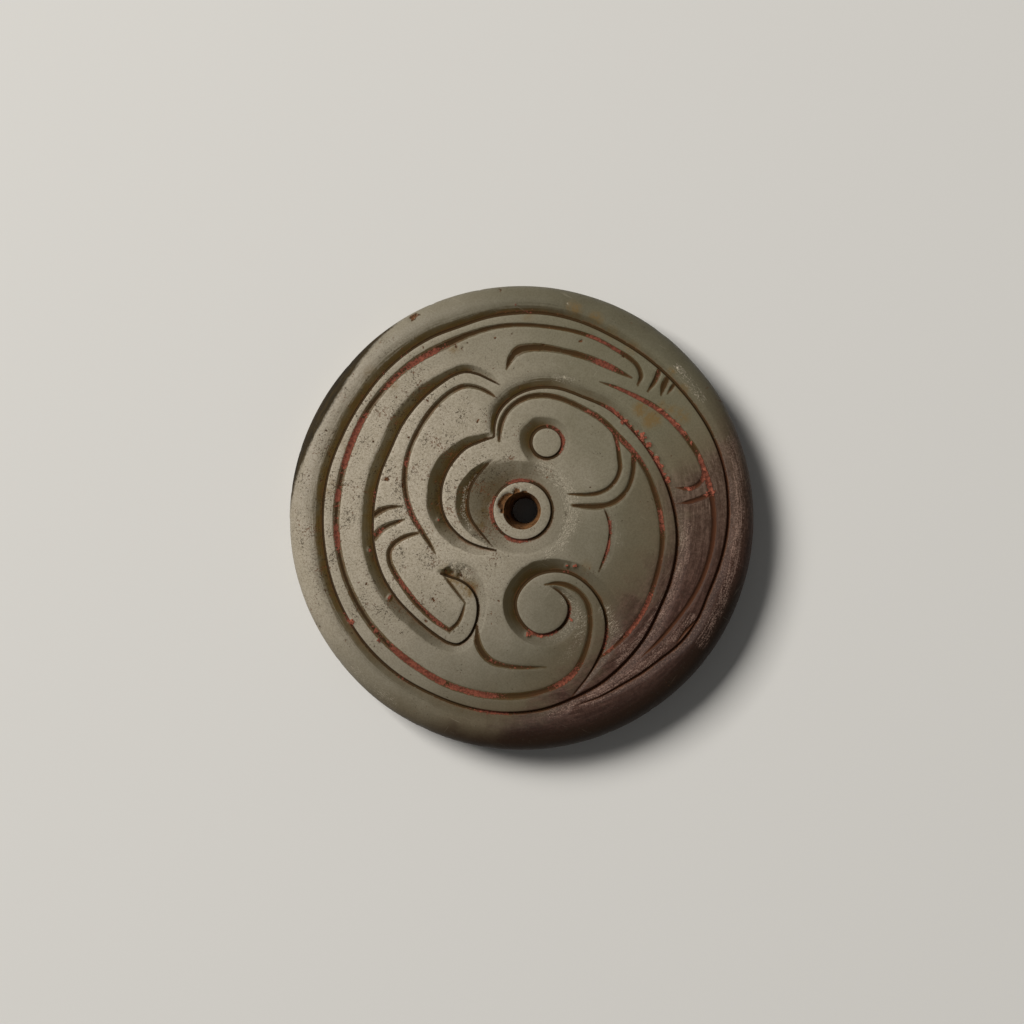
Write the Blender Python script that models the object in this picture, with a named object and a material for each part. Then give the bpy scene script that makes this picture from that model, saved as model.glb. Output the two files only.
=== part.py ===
"""Carved jade pendant: one round disc with a coiled creature cut into its face and a drilled cord hole.

The disc lies on its flat back with the carved face up.  The origin is the middle of the underside, +Z goes
up through the carved face and +Y is the top of the design.
"""
import bpy
import numpy as np
from mathutils.geometry import delaunay_2d_cdt

# The disc, in metres.
DISC_DIAMETER = 0.0463
DISC_THICKNESS = 0.0056
FACE_CROWN = 0.0002
RIM_ROUND_WIDTH = 0.0021
RIM_ROUND_DROP = 0.0018
BACK_ROUND = 0.0008

# The flat worn on the edge at the upper left of the face.
EDGE_FLAT_WIDTH = 0.0007
EDGE_FLAT_DROP = 0.0006
EDGE_FLAT_FROM_DEG = 108.0
EDGE_FLAT_TO_DEG = 174.0

# The cord hole, drilled from both sides and met a little off the middle.
HOLE_ABOVE_MIDDLE = 0.00085
HOLE_MOUTH_DIAMETER = 0.0038
HOLE_WAIST_DIAMETER = 0.00246
HOLE_BACK_DIAMETER = 0.0036
HOLE_WAIST_HEIGHT = 0.0026
HOLE_WAIST_SHIFT = 0.00033

# The ring left standing round the hole, and the dish cut round it.
RING_WIDTH = 0.00108
RING_DEPTH = 0.00055
RING_DISH_MIN = 0.0006

# The eye, a small raised disc in a dish of its own.
EYE_DIAMETER = 0.0031
EYE_DEPTH = 0.00045
EYE_DISH_MIN = 0.0005

# The cuts.  A slanted cut is a broad slope on one side and a short steep wall on the other.
SLANT_DEPTH = 0.00055
LINE_DEPTH = 0.00024
WALL_RUN = 0.00018

# The plain back: one shallow ring groove, with a flat land left between it and the rounded edge.
BACK_LAND = 0.0020
BACK_GROOVE_WIDTH = 0.0009
BACK_GROOVE_DEPTH = 0.00018

# How finely the solid is cut up.
RIM_STEPS = 120
HOLE_STEPS = 40
EYE_STEPS = 28
LONGEST_STEP = 0.0014
SHORTEST_STEP = 0.00035
TURN_STEP_DEG = 9.0
FILL_SPACING = 0.0019

# From here on a knot is (x, y) in thousandths of the disc's radius from its centre, and widths are in the
# same unit, spread evenly along the cut.  They stand for the artist's hand, so they are placed by eye.
WIDTH_OF_FULL_SLANT = 52
WIDTH_OF_FULL_LINE = 22
EYE_CENTRE = (109, 322)
RING_DISH_RADII = (216, 214, 240, 222, 258, 279, 272, 222, 206, 192, 200, 208)
EYE_DISH_RADII = (97, 104, 112, 117, 128, 130, 125, 120, 116, 112, 108, 100)


def around(first_deg, step_deg, radii):
    """Knots at even turns round the disc's centre, one radius each."""
    knots = []
    for number, radius in enumerate(radii):
        angle = np.radians(first_deg + step_deg * number)
        knots.append((radius * np.cos(angle), radius * np.sin(angle)))
    return knots


# Slanted cuts: side of the slope (1 is left of the way along the cut), widths, knots.
SLANTED_CUTS = {
    "body": (-1, (6, 30, 42, 44, 44, 44, 48, 56, 60, 60, 60, 56, 52, 52, 56, 60, 62, 60, 38),
             around(-72, 24, (843, 851, 872, 893, 897, 889, 884, 883, 873, 862, 860, 864, 866, 856, 839,
                              805, 752, 699, 665, 627, 607))
             + [(166, 559), (92, 565), (19, 551), (-46, 516), (-93, 467), (-115, 415), (-121, 350)]),
    "curl": (1, (6, 30, 40, 52, 56, 60, 60, 60, 52, 60, 74, 70, 30, 14),
             [(123, -292), (170, -324), (203, -390), (175, -467), (100, -502), (23, -477), (-24, -390),
              (-3, -305), (49, -255), (120, -230), (195, -236), (260, -269), (320, -330), (358, -405),
              (365, -500), (345, -580), (291, -678), (218, -773)]),
    "lip": (-1, (24, 34, 50, 62, 66, 66, 64, 54, 36, 22, 4),
            [(-124, 350), (-210, 318), (-292, 251), (-340, 160), (-347, 52), (-327, -9), (-292, -56),
             (-240, -99), (-150, -134), (-35, -172)]),
    "crest": (-1, (10, 34, 40, 50, 60, 62, 60, 58, 58, 60, 58, 44, 38, 34, 36, 60, 90),
              [(-93, 577), (-137, 598), (-188, 622), (-250, 633), (-301, 613), (-417, 527), (-525, 389),
               (-607, 203), (-640, 45), (-638, -130), (-603, -246), (-543, -346), (-456, -436), (-365, -510),
               (-314, -538), (-275, -546), (-232, -518), (-201, -460), (-188, -395), (-201, -325),
               (-262, -270), (-348, -240)]),
    "jaw": (1, (0, 34, 34, 30, 0),
            [(356, 43), (373, 0), (382, -52), (375, -108), (334, -233)]),
}

# Plain cut lines: widths, knots.
CUT_LINES = {
    "mane": ((10, 16, 16, 16, 26, 30, 28, 26, 26, 26, 26, 24, 24, 24, 24, 24, 20, 20, 4),
             [(503, 579), (516, 609), (503, 652), (468, 689)]
             + around(66, 22, (834, 835, 828, 820, 811, 802, 801, 803, 791))
             + [(-340, -711), (-201, -756), (-72, -771), (58, -758), (166, -717), (239, -652), (283, -553),
                (298, -462), (287, -376), (252, -324), (205, -294), (101, -287)]),
    "head": ((14, 22, 22, 22, 22, 22, 20, 20, 22, 22, 6),
             [(-98, 337), (-91, 397), (-67, 454), (32, 523), (101, 529), (175, 514), (347, 423), (429, 341),
              (503, 259), (583, 86), (609, -95), (568, -302), (455, -501), (326, -640)]),
    "crest_inner": ((6, 20, 22, 22, 22, 20, 18, 4),
                    [(-106, 518), (-197, 566), (-244, 570), (-340, 518), (-443, 384), (-502, 225),
                     (-495, 78), (-430, -60), (-374, -151)]),
    "claw": ((14, 22, 22, 22, 20, 16),
             [(-448, -65), (-547, -108), (-571, -143), (-571, -186), (-504, -305), (-396, -425),
              (-314, -484)]),
    "claw_tip": ((16, 14, 6), [(-314, -486), (-279, -458), (-244, -367)]),
    "claw_back": ((6, 14, 6), [(-244, -367), (-309, -283), (-335, -251)]),
    "band_left_upper": ((20, 22, 8), [(-642, 9), (-573, 45), (-521, 50)]),
    "band_left_lower": ((24, 26, 8), [(-640, -86), (-573, -30), (-508, -6)]),
    "chin": ((22, 26, 24, 20, 16, 8),
             [(-193, -471), (-193, -527), (-171, -579), (-132, -618), (-7, -646), (101, -645)]),
    "cheek_upper": ((10, 16, 16, 16, 14, 4),
                    [(390, 380), (421, 263), (412, 173), (339, 110), (192, 104)]),
    "cheek_lower": ((20, 22, 22, 26, 24, 6),
                    [(486, 268), (483, 216), (455, 121), (373, 58), (317, 50), (222, 54)]),
    "horn": ((4, 20, 26, 24, 24, 24, 4),
             [(-63, 652), (-11, 728), (45, 739), (209, 715), (382, 652), (473, 607)]),
    "flank": ((4, 16, 20, 22, 22, 22, 22, 20, 18, 4),
              [(339, 587), (490, 527), (650, 419), (758, 281), (816, 121), (832, -39), (788, -246),
               (667, -445), (503, -613)]),
    "band_right_upper": ((18, 20, 8), [(779, 233), (788, 190), (771, 151), (727, 127), (663, 132)]),
    "band_right_lower": ((20, 20, 8), [(818, 104), (771, 84), (671, 63)]),
    "hatch_long": ((20, 20, 6), [(598, 648), (578, 596), (546, 549)]),
    "hatch_middle": ((24, 26, 8), [(632, 609), (615, 570), (602, 531)]),
    "hatch_short": ((14, 14, 6), [(663, 583), (645, 557), (632, 540)]),
}

# The solid is worked out in millimetres, so that very short edges keep their accuracy.
MM = 1000.0
RADIUS = DISC_DIAMETER * MM / 2.0
SHARE = RADIUS / 1000.0


def smooth_line(knots):
    """A smooth line through the knots, in millimetres, as closely spaced points."""
    knots = np.array(knots, dtype=float) * SHARE
    padded = np.vstack([2 * knots[0] - knots[1], knots, 2 * knots[-1] - knots[-2]])
    points = []
    for first in range(len(padded) - 3):
        four = padded[first:first + 4]
        gaps = np.sqrt(np.linalg.norm(np.diff(four, axis=0), axis=1))
        times = np.concatenate([[0.0], np.cumsum(gaps)])
        for time in np.linspace(times[1], times[2], 16, endpoint=False):
            level = four
            for order in (1, 2, 3):
                spans = range(4 - order)
                level = np.array([blend(level, times, at, order, time) for at in spans])
            points.append(level[0])
    points.append(knots[-1])
    return np.array(points)


def blend(level, times, at, order, time):
    """One step of the smooth line: a straight mix of two neighbours by time."""
    low = times[at] if order < 3 else times[1]
    high = times[at + order] if order < 3 else times[2]
    return ((high - time) * level[at] + (time - low) * level[at + 1]) / (high - low)


def thinned(points):
    """Drops points where the line runs nearly straight."""
    kept = [points[0]]
    turned = 0.0
    gone = 0.0
    for before, here, after in zip(points[:-2], points[1:-1], points[2:]):
        a = here - before
        b = after - here
        gone += np.linalg.norm(a)
        cross = a[0] * b[1] - a[1] * b[0]
        turned += abs(np.degrees(np.arctan2(cross, a @ b)))
        far_enough = gone > SHORTEST_STEP * MM
        if far_enough and (turned > TURN_STEP_DEG or gone > LONGEST_STEP * MM):
            kept.append(here)
            turned = 0.0
            gone = 0.0
    if np.linalg.norm(points[-1] - kept[-1]) < SHORTEST_STEP * MM and len(kept) > 2:
        kept.pop()
    kept.append(points[-1])
    return np.array(kept)


def along(points):
    """Share of the way along the line for each of its points."""
    steps = np.linalg.norm(np.diff(points, axis=0), axis=1)
    total = np.concatenate([[0.0], np.cumsum(steps)])
    return total / total[-1]


def widths_at(shares, widths):
    """Width in millimetres at each share of the way along a cut."""
    return np.interp(shares, np.linspace(0.0, 1.0, len(widths)), widths) * SHARE


def moved_aside(points, distances):
    """The line moved to its left by a distance for each point."""
    way = np.gradient(points, axis=0)
    way /= np.linalg.norm(way, axis=1)[:, None]
    left = np.stack([-way[:, 1], way[:, 0]], axis=1)
    return points + left * distances[:, None]


def nearest_on_line(points, line):
    """Distance, side and share of the way along the line for every point."""
    start = line[:-1]
    step = line[1:] - start
    length = np.einsum("ij,ij->i", step, step)
    rel = points[:, None, :] - start[None]
    share = np.clip(np.einsum("nij,ij->ni", rel, step) / length, 0.0, 1.0)
    gap = rel - share[..., None] * step[None]
    distance = np.linalg.norm(gap, axis=2)
    best = np.argmin(distance, axis=1)
    rows = np.arange(len(points))
    cross = step[best, 0] * rel[rows, best, 1] - step[best, 1] * rel[rows, best, 0]
    run = along(line)
    where = run[best] + share[rows, best] * (run[best + 1] - run[best])
    return distance[rows, best], np.sign(cross), where


class SlantedCut:
    """A cut with a broad slope on one side and a short wall on the other."""

    def __init__(self, side, widths, knots):
        self.side = side
        self.widths = widths
        self.foot = thinned(smooth_line(knots))

    def guides(self):
        run = widths_at(along(self.foot), self.widths)
        wall = np.minimum(WALL_RUN * MM, run)
        return [self.foot,
                moved_aside(self.foot, self.side * run),
                moved_aside(self.foot, -self.side * wall)]

    def depth(self, points):
        distance, side, where = nearest_on_line(points, self.foot)
        run = widths_at(where, self.widths)
        full = WIDTH_OF_FULL_SLANT * SHARE
        deepest = SLANT_DEPTH * MM * np.minimum(1.0, run / full)
        wall = np.minimum(WALL_RUN * MM, run)
        reach = np.where(side == -self.side, wall, run)
        return deepest * np.clip(1.0 - distance / np.maximum(reach, 1e-6), 0.0, 1.0)


class CutLine:
    """A narrow cut with the same slope on both sides."""

    def __init__(self, widths, knots):
        self.widths = widths
        self.foot = thinned(smooth_line(knots))

    def guides(self):
        half = widths_at(along(self.foot), self.widths) / 2.0
        return [self.foot, moved_aside(self.foot, half), moved_aside(self.foot, -half)]

    def depth(self, points):
        distance, _, where = nearest_on_line(points, self.foot)
        half = widths_at(where, self.widths) / 2.0
        full = WIDTH_OF_FULL_LINE * SHARE / 2.0
        deepest = LINE_DEPTH * MM * np.minimum(1.0, half / full)
        return deepest * np.clip(1.0 - distance / np.maximum(half, 1e-6), 0.0, 1.0)


class Dish:
    """A dish cut round a raised disc, deepest at the disc's foot."""

    def __init__(self, centre, inner, radii, least, depth, steps):
        self.centre = np.array(centre)
        self.inner = inner
        self.radii = np.maximum(np.array(radii) * SHARE, inner + least)
        self.full = depth
        self.steps = steps

    def outer(self, angles):
        turns = np.linspace(0.0, 2.0 * np.pi, len(self.radii) + 1)
        closed = np.append(self.radii, self.radii[0])
        return np.interp(np.mod(angles, 2.0 * np.pi), turns, closed)

    def guides(self):
        angles = np.linspace(0.0, 2.0 * np.pi, self.steps + 1)
        round_it = np.stack([np.cos(angles), np.sin(angles)], axis=1)
        top = self.inner - WALL_RUN * MM
        return [self.centre + round_it * top,
                self.centre + round_it * self.inner,
                self.centre + round_it * self.outer(angles)[:, None]]

    def depth(self, points):
        rel = points - self.centre
        distance = np.linalg.norm(rel, axis=1)
        outer = self.outer(np.arctan2(rel[:, 1], rel[:, 0]))
        slope = np.clip((outer - distance) / (outer - self.inner), 0.0, 1.0)
        wall = np.clip((distance - self.inner) / (WALL_RUN * MM) + 1.0, 0.0, 1.0)
        return self.full * np.minimum(slope, wall)


def hole_centre():
    return np.array([0.0, HOLE_ABOVE_MIDDLE * MM])


def make_cuts():
    """Every cut of the face, in the order that they are listed."""
    cuts = [SlantedCut(*entry) for entry in SLANTED_CUTS.values()]
    cuts += [CutLine(*entry) for entry in CUT_LINES.values()]
    ring_outer = (HOLE_MOUTH_DIAMETER / 2.0 + RING_WIDTH) * MM
    cuts.append(Dish(hole_centre(), ring_outer, RING_DISH_RADII, RING_DISH_MIN * MM,
                     RING_DEPTH * MM, HOLE_STEPS))
    cuts.append(Dish(np.array(EYE_CENTRE) * SHARE, EYE_DIAMETER * MM / 2.0, EYE_DISH_RADII,
                     EYE_DISH_MIN * MM, EYE_DEPTH * MM, EYE_STEPS))
    return cuts


def edge_flat_width(angles):
    """Width of the worn flat on the edge at each angle round the disc."""
    turn = np.mod(np.degrees(angles), 360.0)
    share = (turn - EDGE_FLAT_FROM_DEG) / (EDGE_FLAT_TO_DEG - EDGE_FLAT_FROM_DEG)
    return EDGE_FLAT_WIDTH * MM * np.sin(np.pi * np.clip(share, 0.0, 1.0))


def face_height(points, cuts):
    """Height of the carved face above the underside."""
    distance = np.linalg.norm(points, axis=1)
    height = DISC_THICKNESS * MM - FACE_CROWN * MM * (distance / RADIUS) ** 2
    inward = RIM_ROUND_WIDTH * MM
    over = np.clip((distance - RADIUS + inward) / inward, 0.0, 1.0)
    height -= RIM_ROUND_DROP * MM * (1.0 - np.sqrt(1.0 - over ** 2))
    flat = edge_flat_width(np.arctan2(points[:, 1], points[:, 0]))
    past = np.clip((distance - RADIUS + flat) / np.maximum(flat, 1e-6), 0.0, 1.0)
    height -= np.where(flat > 1e-6, EDGE_FLAT_DROP / EDGE_FLAT_WIDTH * flat * past, 0.0)
    depth = np.zeros(len(points))
    for cut in cuts:
        depth = np.maximum(depth, cut.depth(points))
    return height - depth


def circle(centre, radius, steps):
    angles = np.arange(steps) * 2.0 * np.pi / steps
    return centre + radius * np.stack([np.cos(angles), np.sin(angles)], axis=1)


class Plan:
    """Points and lines of a flat plan, kept apart by a least distance."""

    def __init__(self, least):
        self.least = least
        self.points = np.zeros((0, 2))
        self.edges = []

    def add_point(self, point, least=None):
        if len(self.points):
            gaps = np.linalg.norm(self.points - point, axis=1)
            near = int(np.argmin(gaps))
            if gaps[near] < (self.least if least is None else least):
                return near
        self.points = np.vstack([self.points, point])
        return len(self.points) - 1

    def add_line(self, line, closed=False):
        at = [self.add_point(point) for point in line]
        if closed:
            at.append(at[0])
        for a, b in zip(at[:-1], at[1:]):
            if a != b:
                self.edges.append((a, b))

    def fill(self, spacing, reach, keep_off):
        rows = int(reach / spacing) + 2
        for row in range(-rows, rows + 1):
            for column in range(-rows, rows + 1):
                x = (column + 0.5 * (row % 2)) * spacing
                point = np.array([x, row * spacing * 0.8660254])
                if np.linalg.norm(point) < reach:
                    self.add_point(point, keep_off)

    def triangles(self, hole_middle, hole_radius):
        """Triangles over the plan, without those inside the hole."""
        coords = [tuple(point) for point in self.points]
        found = delaunay_2d_cdt(coords, self.edges, [], 0, 0.01)
        points = np.array([tuple(point) for point in found[0]])
        for number, sources in enumerate(found[3]):
            if sources:
                points[number] = self.points[sources[0]]
        outside = np.linalg.norm(points - hole_middle, axis=1) > hole_radius + 0.001
        faces = [list(face) for face in found[2] if any(outside[at] for at in face)]
        return points, faces


class Shell:
    """Collects points and faces of the closed body, in millimetres."""

    def __init__(self):
        self.points = []
        self.faces = []

    def add(self, points, faces, turned=False):
        first = len(self.points)
        self.points.extend(points)
        for face in faces:
            order = reversed(face) if turned else face
            self.faces.append([first + at for at in order])

    def add_rings(self, rings):
        """Joins equal rings one after the other; the first is the top of an outward wall."""
        steps = len(rings[0])
        points = [point for ring in rings for point in ring]
        faces = []
        for level in range(len(rings) - 1):
            high = level * steps
            low = high + steps
            for at in range(steps):
                after = (at + 1) % steps
                faces.append([high + at, low + at, low + after])
                faces.append([high + at, low + after, high + after])
        self.add(points, faces)


def with_height(plan_points, heights):
    return [(x, y, z) for (x, y), z in zip(plan_points, np.broadcast_to(heights, len(plan_points)))]


def carved_side(cuts):
    """Plan of the carved face: rim circles, hole, every cut's own lines, then a loose fill."""
    plan = Plan(0.09)
    centre = np.zeros(2)
    inward = RIM_ROUND_WIDTH * MM
    plan.add_line(circle(centre, RADIUS, RIM_STEPS), closed=True)
    plan.add_line(circle(hole_centre(), HOLE_MOUTH_DIAMETER * MM / 2.0, HOLE_STEPS), closed=True)
    for over in (0.93, 0.74, 0.45):
        plan.add_line(circle(centre, RADIUS - inward * (1.0 - over), RIM_STEPS), closed=True)
    for cut in cuts:
        for line in cut.guides():
            plan.add_line(line)
    plan.fill(FILL_SPACING * MM, RADIUS - inward, FILL_SPACING * MM * 0.62)
    return plan.triangles(hole_centre(), HOLE_MOUTH_DIAMETER * MM / 2.0)


def back_side():
    """Plan of the flat back: edge, ring groove and the hole's lower mouth."""
    plan = Plan(0.05)
    centre = np.zeros(2)
    half = BACK_GROOVE_WIDTH * MM / 2.0
    groove = RADIUS - BACK_ROUND * MM - BACK_LAND * MM - half
    plan.add_line(circle(centre, RADIUS - BACK_ROUND * MM, RIM_STEPS), closed=True)
    for radius in (groove + half, groove, groove - half):
        plan.add_line(circle(centre, radius, RIM_STEPS), closed=True)
    plan.add_line(circle(hole_centre(), HOLE_BACK_DIAMETER * MM / 2.0, HOLE_STEPS), closed=True)
    points, faces = plan.triangles(hole_centre(), HOLE_BACK_DIAMETER * MM / 2.0)
    away = np.abs(np.linalg.norm(points, axis=1) - groove)
    heights = BACK_GROOVE_DEPTH * MM * np.clip(1.0 - away / half, 0.0, 1.0)
    return points, heights, faces


def make_disc():
    """The whole pendant as one closed body."""
    cuts = make_cuts()
    shell = Shell()
    centre = np.zeros(2)

    top_points, top_faces = carved_side(cuts)
    shell.add(with_height(top_points, face_height(top_points, cuts)), top_faces)

    back_points, back_heights, back_faces = back_side()
    shell.add(with_height(back_points, back_heights), back_faces, turned=True)

    edge = circle(centre, RADIUS, RIM_STEPS)
    rounding = BACK_ROUND * MM
    rings = [with_height(edge, face_height(edge, cuts))]
    rings.append(with_height(edge, rounding))
    for turn in (30.0, 60.0, 90.0):
        angle = np.radians(turn)
        inner = circle(centre, RADIUS - rounding * (1.0 - np.cos(angle)), RIM_STEPS)
        rings.append(with_height(inner, rounding * (1.0 - np.sin(angle))))
    shell.add_rings(rings)

    mouth = circle(hole_centre(), HOLE_MOUTH_DIAMETER * MM / 2.0, HOLE_STEPS)
    waist_middle = hole_centre() + np.array([HOLE_WAIST_SHIFT * MM, 0.0])
    waist = circle(waist_middle, HOLE_WAIST_DIAMETER * MM / 2.0, HOLE_STEPS)
    back_mouth = circle(hole_centre(), HOLE_BACK_DIAMETER * MM / 2.0, HOLE_STEPS)
    shell.add_rings([with_height(back_mouth, 0.0),
                     with_height(waist, HOLE_WAIST_HEIGHT * MM),
                     with_height(mouth, face_height(mouth, cuts))])
    return joined(shell)


def joined(shell):
    """Merges the points that the pieces of the shell share."""
    number = {}
    order = []
    index = []
    for point in shell.points:
        key = tuple(int(round(value * 10000.0)) for value in point)
        if key not in number:
            number[key] = len(order)
            order.append(point)
        index.append(number[key])
    faces = []
    for face in shell.faces:
        named = [index[at] for at in face]
        if len(set(named)) == 3:
            faces.append(named)
    return [tuple(value / MM for value in point) for point in order], faces


def jade_material():
    material = bpy.data.materials.new("jade")
    material.use_nodes = True
    shader = material.node_tree.nodes["Principled BSDF"]
    shader.inputs["Base Color"].default_value = (0.33, 0.31, 0.24, 1.0)
    shader.inputs["Roughness"].default_value = 0.38
    return material


def main():
    for thing in list(bpy.data.objects):
        bpy.data.objects.remove(thing)
    points, faces = make_disc()
    mesh = bpy.data.meshes.new("pendant_disc")
    mesh.from_pydata(points, [], faces)
    mesh.update()
    mesh.materials.append(jade_material())
    disc = bpy.data.objects.new("pendant_disc", mesh)
    bpy.context.collection.objects.link(disc)


main()
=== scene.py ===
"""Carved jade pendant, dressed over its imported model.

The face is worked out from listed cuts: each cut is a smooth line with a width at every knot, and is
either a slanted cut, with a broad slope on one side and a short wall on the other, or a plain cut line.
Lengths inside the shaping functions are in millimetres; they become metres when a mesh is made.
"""
import math

import bpy
import numpy as np
from bpy.props import FloatProperty, FloatVectorProperty, IntProperty, PointerProperty
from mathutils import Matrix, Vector
from mathutils.geometry import delaunay_2d_cdt


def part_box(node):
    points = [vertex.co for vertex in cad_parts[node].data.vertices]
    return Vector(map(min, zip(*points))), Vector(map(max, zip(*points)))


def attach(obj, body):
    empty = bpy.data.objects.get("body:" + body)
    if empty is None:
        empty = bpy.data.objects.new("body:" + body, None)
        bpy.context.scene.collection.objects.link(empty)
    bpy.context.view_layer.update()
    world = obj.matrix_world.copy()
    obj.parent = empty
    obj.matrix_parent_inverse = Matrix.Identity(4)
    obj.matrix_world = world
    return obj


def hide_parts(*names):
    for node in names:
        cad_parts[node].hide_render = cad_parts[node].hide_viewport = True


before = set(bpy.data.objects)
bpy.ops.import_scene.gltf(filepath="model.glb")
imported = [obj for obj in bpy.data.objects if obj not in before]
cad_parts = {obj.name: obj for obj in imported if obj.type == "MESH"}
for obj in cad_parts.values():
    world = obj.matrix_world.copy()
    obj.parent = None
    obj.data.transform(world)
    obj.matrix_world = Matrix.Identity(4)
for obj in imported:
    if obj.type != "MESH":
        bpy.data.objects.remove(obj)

bl_info = {
    "name": "Carved Jade Pendant",
    "version": (1, 0, 0),
    "blender": (4, 5, 0),
    "location": "3D View > Sidebar > Jade Pendant",
    "description": "Makes a carved jade disc with a coiled creature, and a plain stage for it",
    "category": "Add Mesh",
}

NODE = "pendant_disc"
LOW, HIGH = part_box(NODE)
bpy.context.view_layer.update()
MM = 1000.0

# Millimetres for one step of the tables below, which hold places and widths on the carved face.
STEP = 0.00992

# Knots of the cuts: x, y and width, in steps from the disc's middle.
BODY_CUT = (
    (564, -1870, 20), (784, -1790, 50), (984, -1680, 70), (1184, -1560, 80), (1384, -1415, 80),
    (1584, -1250, 90), (1754, -1020, 90), (1874, -740, 90), (1974, -480, 100), (2044, -200, 100),
    (2067, 100, 100), (2029, 470, 100), (1914, 810, 100), (1734, 1110, 90), (1504, 1380, 90),
    (1234, 1615, 100), (924, 1810, 110), (584, 1965, 120), (264, 2042, 120), (-16, 2051, 120),
    (-316, 2013, 130), (-616, 1917, 140), (-916, 1800, 150), (-1196, 1620, 150), (-1436, 1390, 160),
    (-1646, 1100, 160), (-1806, 800, 160), (-1929, 480, 160), (-1986, 150, 150), (-1983, -220, 150),
    (-1907, -620, 150), (-1746, -1000, 150), (-1516, -1320, 150), (-1216, -1585, 150),
    (-846, -1785, 160), (-516, -1900, 160), (-166, -1950, 160), (184, -1920, 150), (504, -1805, 140),
    (794, -1650, 120), (1044, -1430, 120), (1234, -1190, 120), (1384, -890, 130), (1484, -640, 130),
    (1549, -320, 140), (1544, -40, 140), (1470, 280, 140), (1331, 580, 140), (1144, 840, 140),
    (884, 1085, 150), (604, 1215, 160), (384, 1293, 170), (214, 1307, 170), (44, 1275, 160),
    (-106, 1195, 140), (-216, 1080, 120), (-266, 960, 90), (-281, 810, 60))
MANE_LINE = (
    (1164, 1340, 25), (1194, 1410, 40), (1164, 1510, 40), (1084, 1595, 40), (934, 1690, 36),
    (764, 1785, 35), (534, 1865, 35), (264, 1913, 35), (-16, 1932, 39), (-266, 1910, 44),
    (-516, 1840, 56), (-766, 1730, 74), (-1016, 1600, 70), (-1236, 1435, 62), (-1436, 1220, 60),
    (-1596, 980, 60), (-1716, 710, 60), (-1801, 430, 60), (-1846, 150, 60), (-1856, -100, 58),
    (-1816, -400, 57), (-1716, -710, 60), (-1556, -1000, 60), (-1356, -1240, 60), (-1096, -1455, 60),
    (-786, -1645, 60), (-466, -1750, 60), (-166, -1785, 60), (134, -1755, 60), (384, -1660, 60),
    (554, -1510, 60), (654, -1280, 59), (689, -1070, 55), (664, -870, 54), (584, -750, 50),
    (474, -680, 49), (354, -653, 39), (234, -665, 20))
HEAD_LINE = (
    (-226, 780, 30), (-211, 920, 50), (-156, 1050, 50), (-56, 1150, 50), (74, 1210, 50), (234, 1225, 50),
    (404, 1190, 50), (604, 1100, 50), (804, 980, 50), (994, 790, 50), (1164, 600, 50), (1274, 410, 50),
    (1349, 200, 50), (1394, 0, 50), (1409, -220, 50), (1384, -440, 50), (1314, -700, 50),
    (1214, -940, 50), (1054, -1160, 45), (884, -1320, 40), (754, -1420, 25))
CURL_CUT = (
    (284, -675, 20), (394, -750, 60), (464, -850, 90), (469, -960, 120), (404, -1080, 130),
    (284, -1155, 130), (164, -1165, 120), (54, -1105, 130), (-36, -980, 140), (-61, -840, 140),
    (-6, -705, 140), (114, -590, 150), (244, -540, 140), (384, -532, 130), (534, -575, 130),
    (684, -690, 140), (794, -850, 160), (844, -1020, 180), (834, -1220, 150), (774, -1390, 90),
    (674, -1570, 50), (504, -1790, 30))
LIP_CUT = (
    (-286, 810, 60), (-416, 765, 80), (-556, 700, 110), (-676, 580, 140), (-761, 440, 160),
    (-806, 280, 160), (-803, 120, 160), (-756, -20, 150), (-676, -130, 130), (-556, -230, 110),
    (-416, -290, 90), (-266, -325, 50))
CREST_CUT = (
    (-216, 1335, 30), (-316, 1385, 70), (-436, 1440, 80), (-566, 1463, 90), (-696, 1420, 90),
    (-816, 1340, 110), (-966, 1220, 130), (-1106, 1065, 140), (-1216, 900, 140), (-1316, 680, 140),
    (-1406, 470, 140), (-1466, 230, 140), (-1491, -20, 140), (-1476, -300, 140), (-1396, -570, 140),
    (-1256, -800, 140), (-1056, -1010, 130), (-846, -1180, 130), (-726, -1250, 110), (-636, -1265, 90),
    (-536, -1200, 80), (-466, -1080, 80), (-436, -940, 90), (-446, -810, 120), (-506, -700, 170),
    (-606, -625, 200), (-716, -585, 160), (-806, -555, 60))
CREST_LINE = (
    (-246, 1200, 20), (-346, 1265, 35), (-456, 1310, 40), (-566, 1320, 45), (-666, 1285, 50),
    (-786, 1200, 50), (-916, 1060, 50), (-1026, 890, 50), (-1116, 700, 50), (-1161, 520, 50),
    (-1171, 350, 50), (-1146, 180, 50), (-1086, 10, 50), (-996, -140, 45), (-906, -280, 35),
    (-866, -350, 20))
CLAW_LINE = (
    (-1036, -150, 30), (-1156, -185, 45), (-1266, -250, 50), (-1321, -330, 50), (-1321, -430, 50),
    (-1266, -555, 50), (-1166, -705, 50), (-1046, -860, 50), (-916, -985, 50), (-806, -1070, 45),
    (-726, -1120, 40))
CLAW_TIP = (
    (-726, -1125, 40), (-646, -1060, 35), (-596, -960, 30), (-566, -850, 20))
CLAW_BACK = (
    (-566, -850, 20), (-646, -745, 30), (-716, -655, 30), (-776, -580, 20))
NOTCH_1 = (
    (-1486, 20, 55), (-1416, 70, 55), (-1326, 105, 45), (-1206, 115, 20))
NOTCH_2 = (
    (-1481, -200, 65), (-1416, -125, 65), (-1326, -70, 55), (-1176, -15, 20))
CHIN_CUT = (
    (-446, -1090, 40), (-446, -1220, 60), (-396, -1340, 60), (-306, -1430, 60), (-176, -1475, 50),
    (-16, -1495, 40), (234, -1493, 20))
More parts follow.
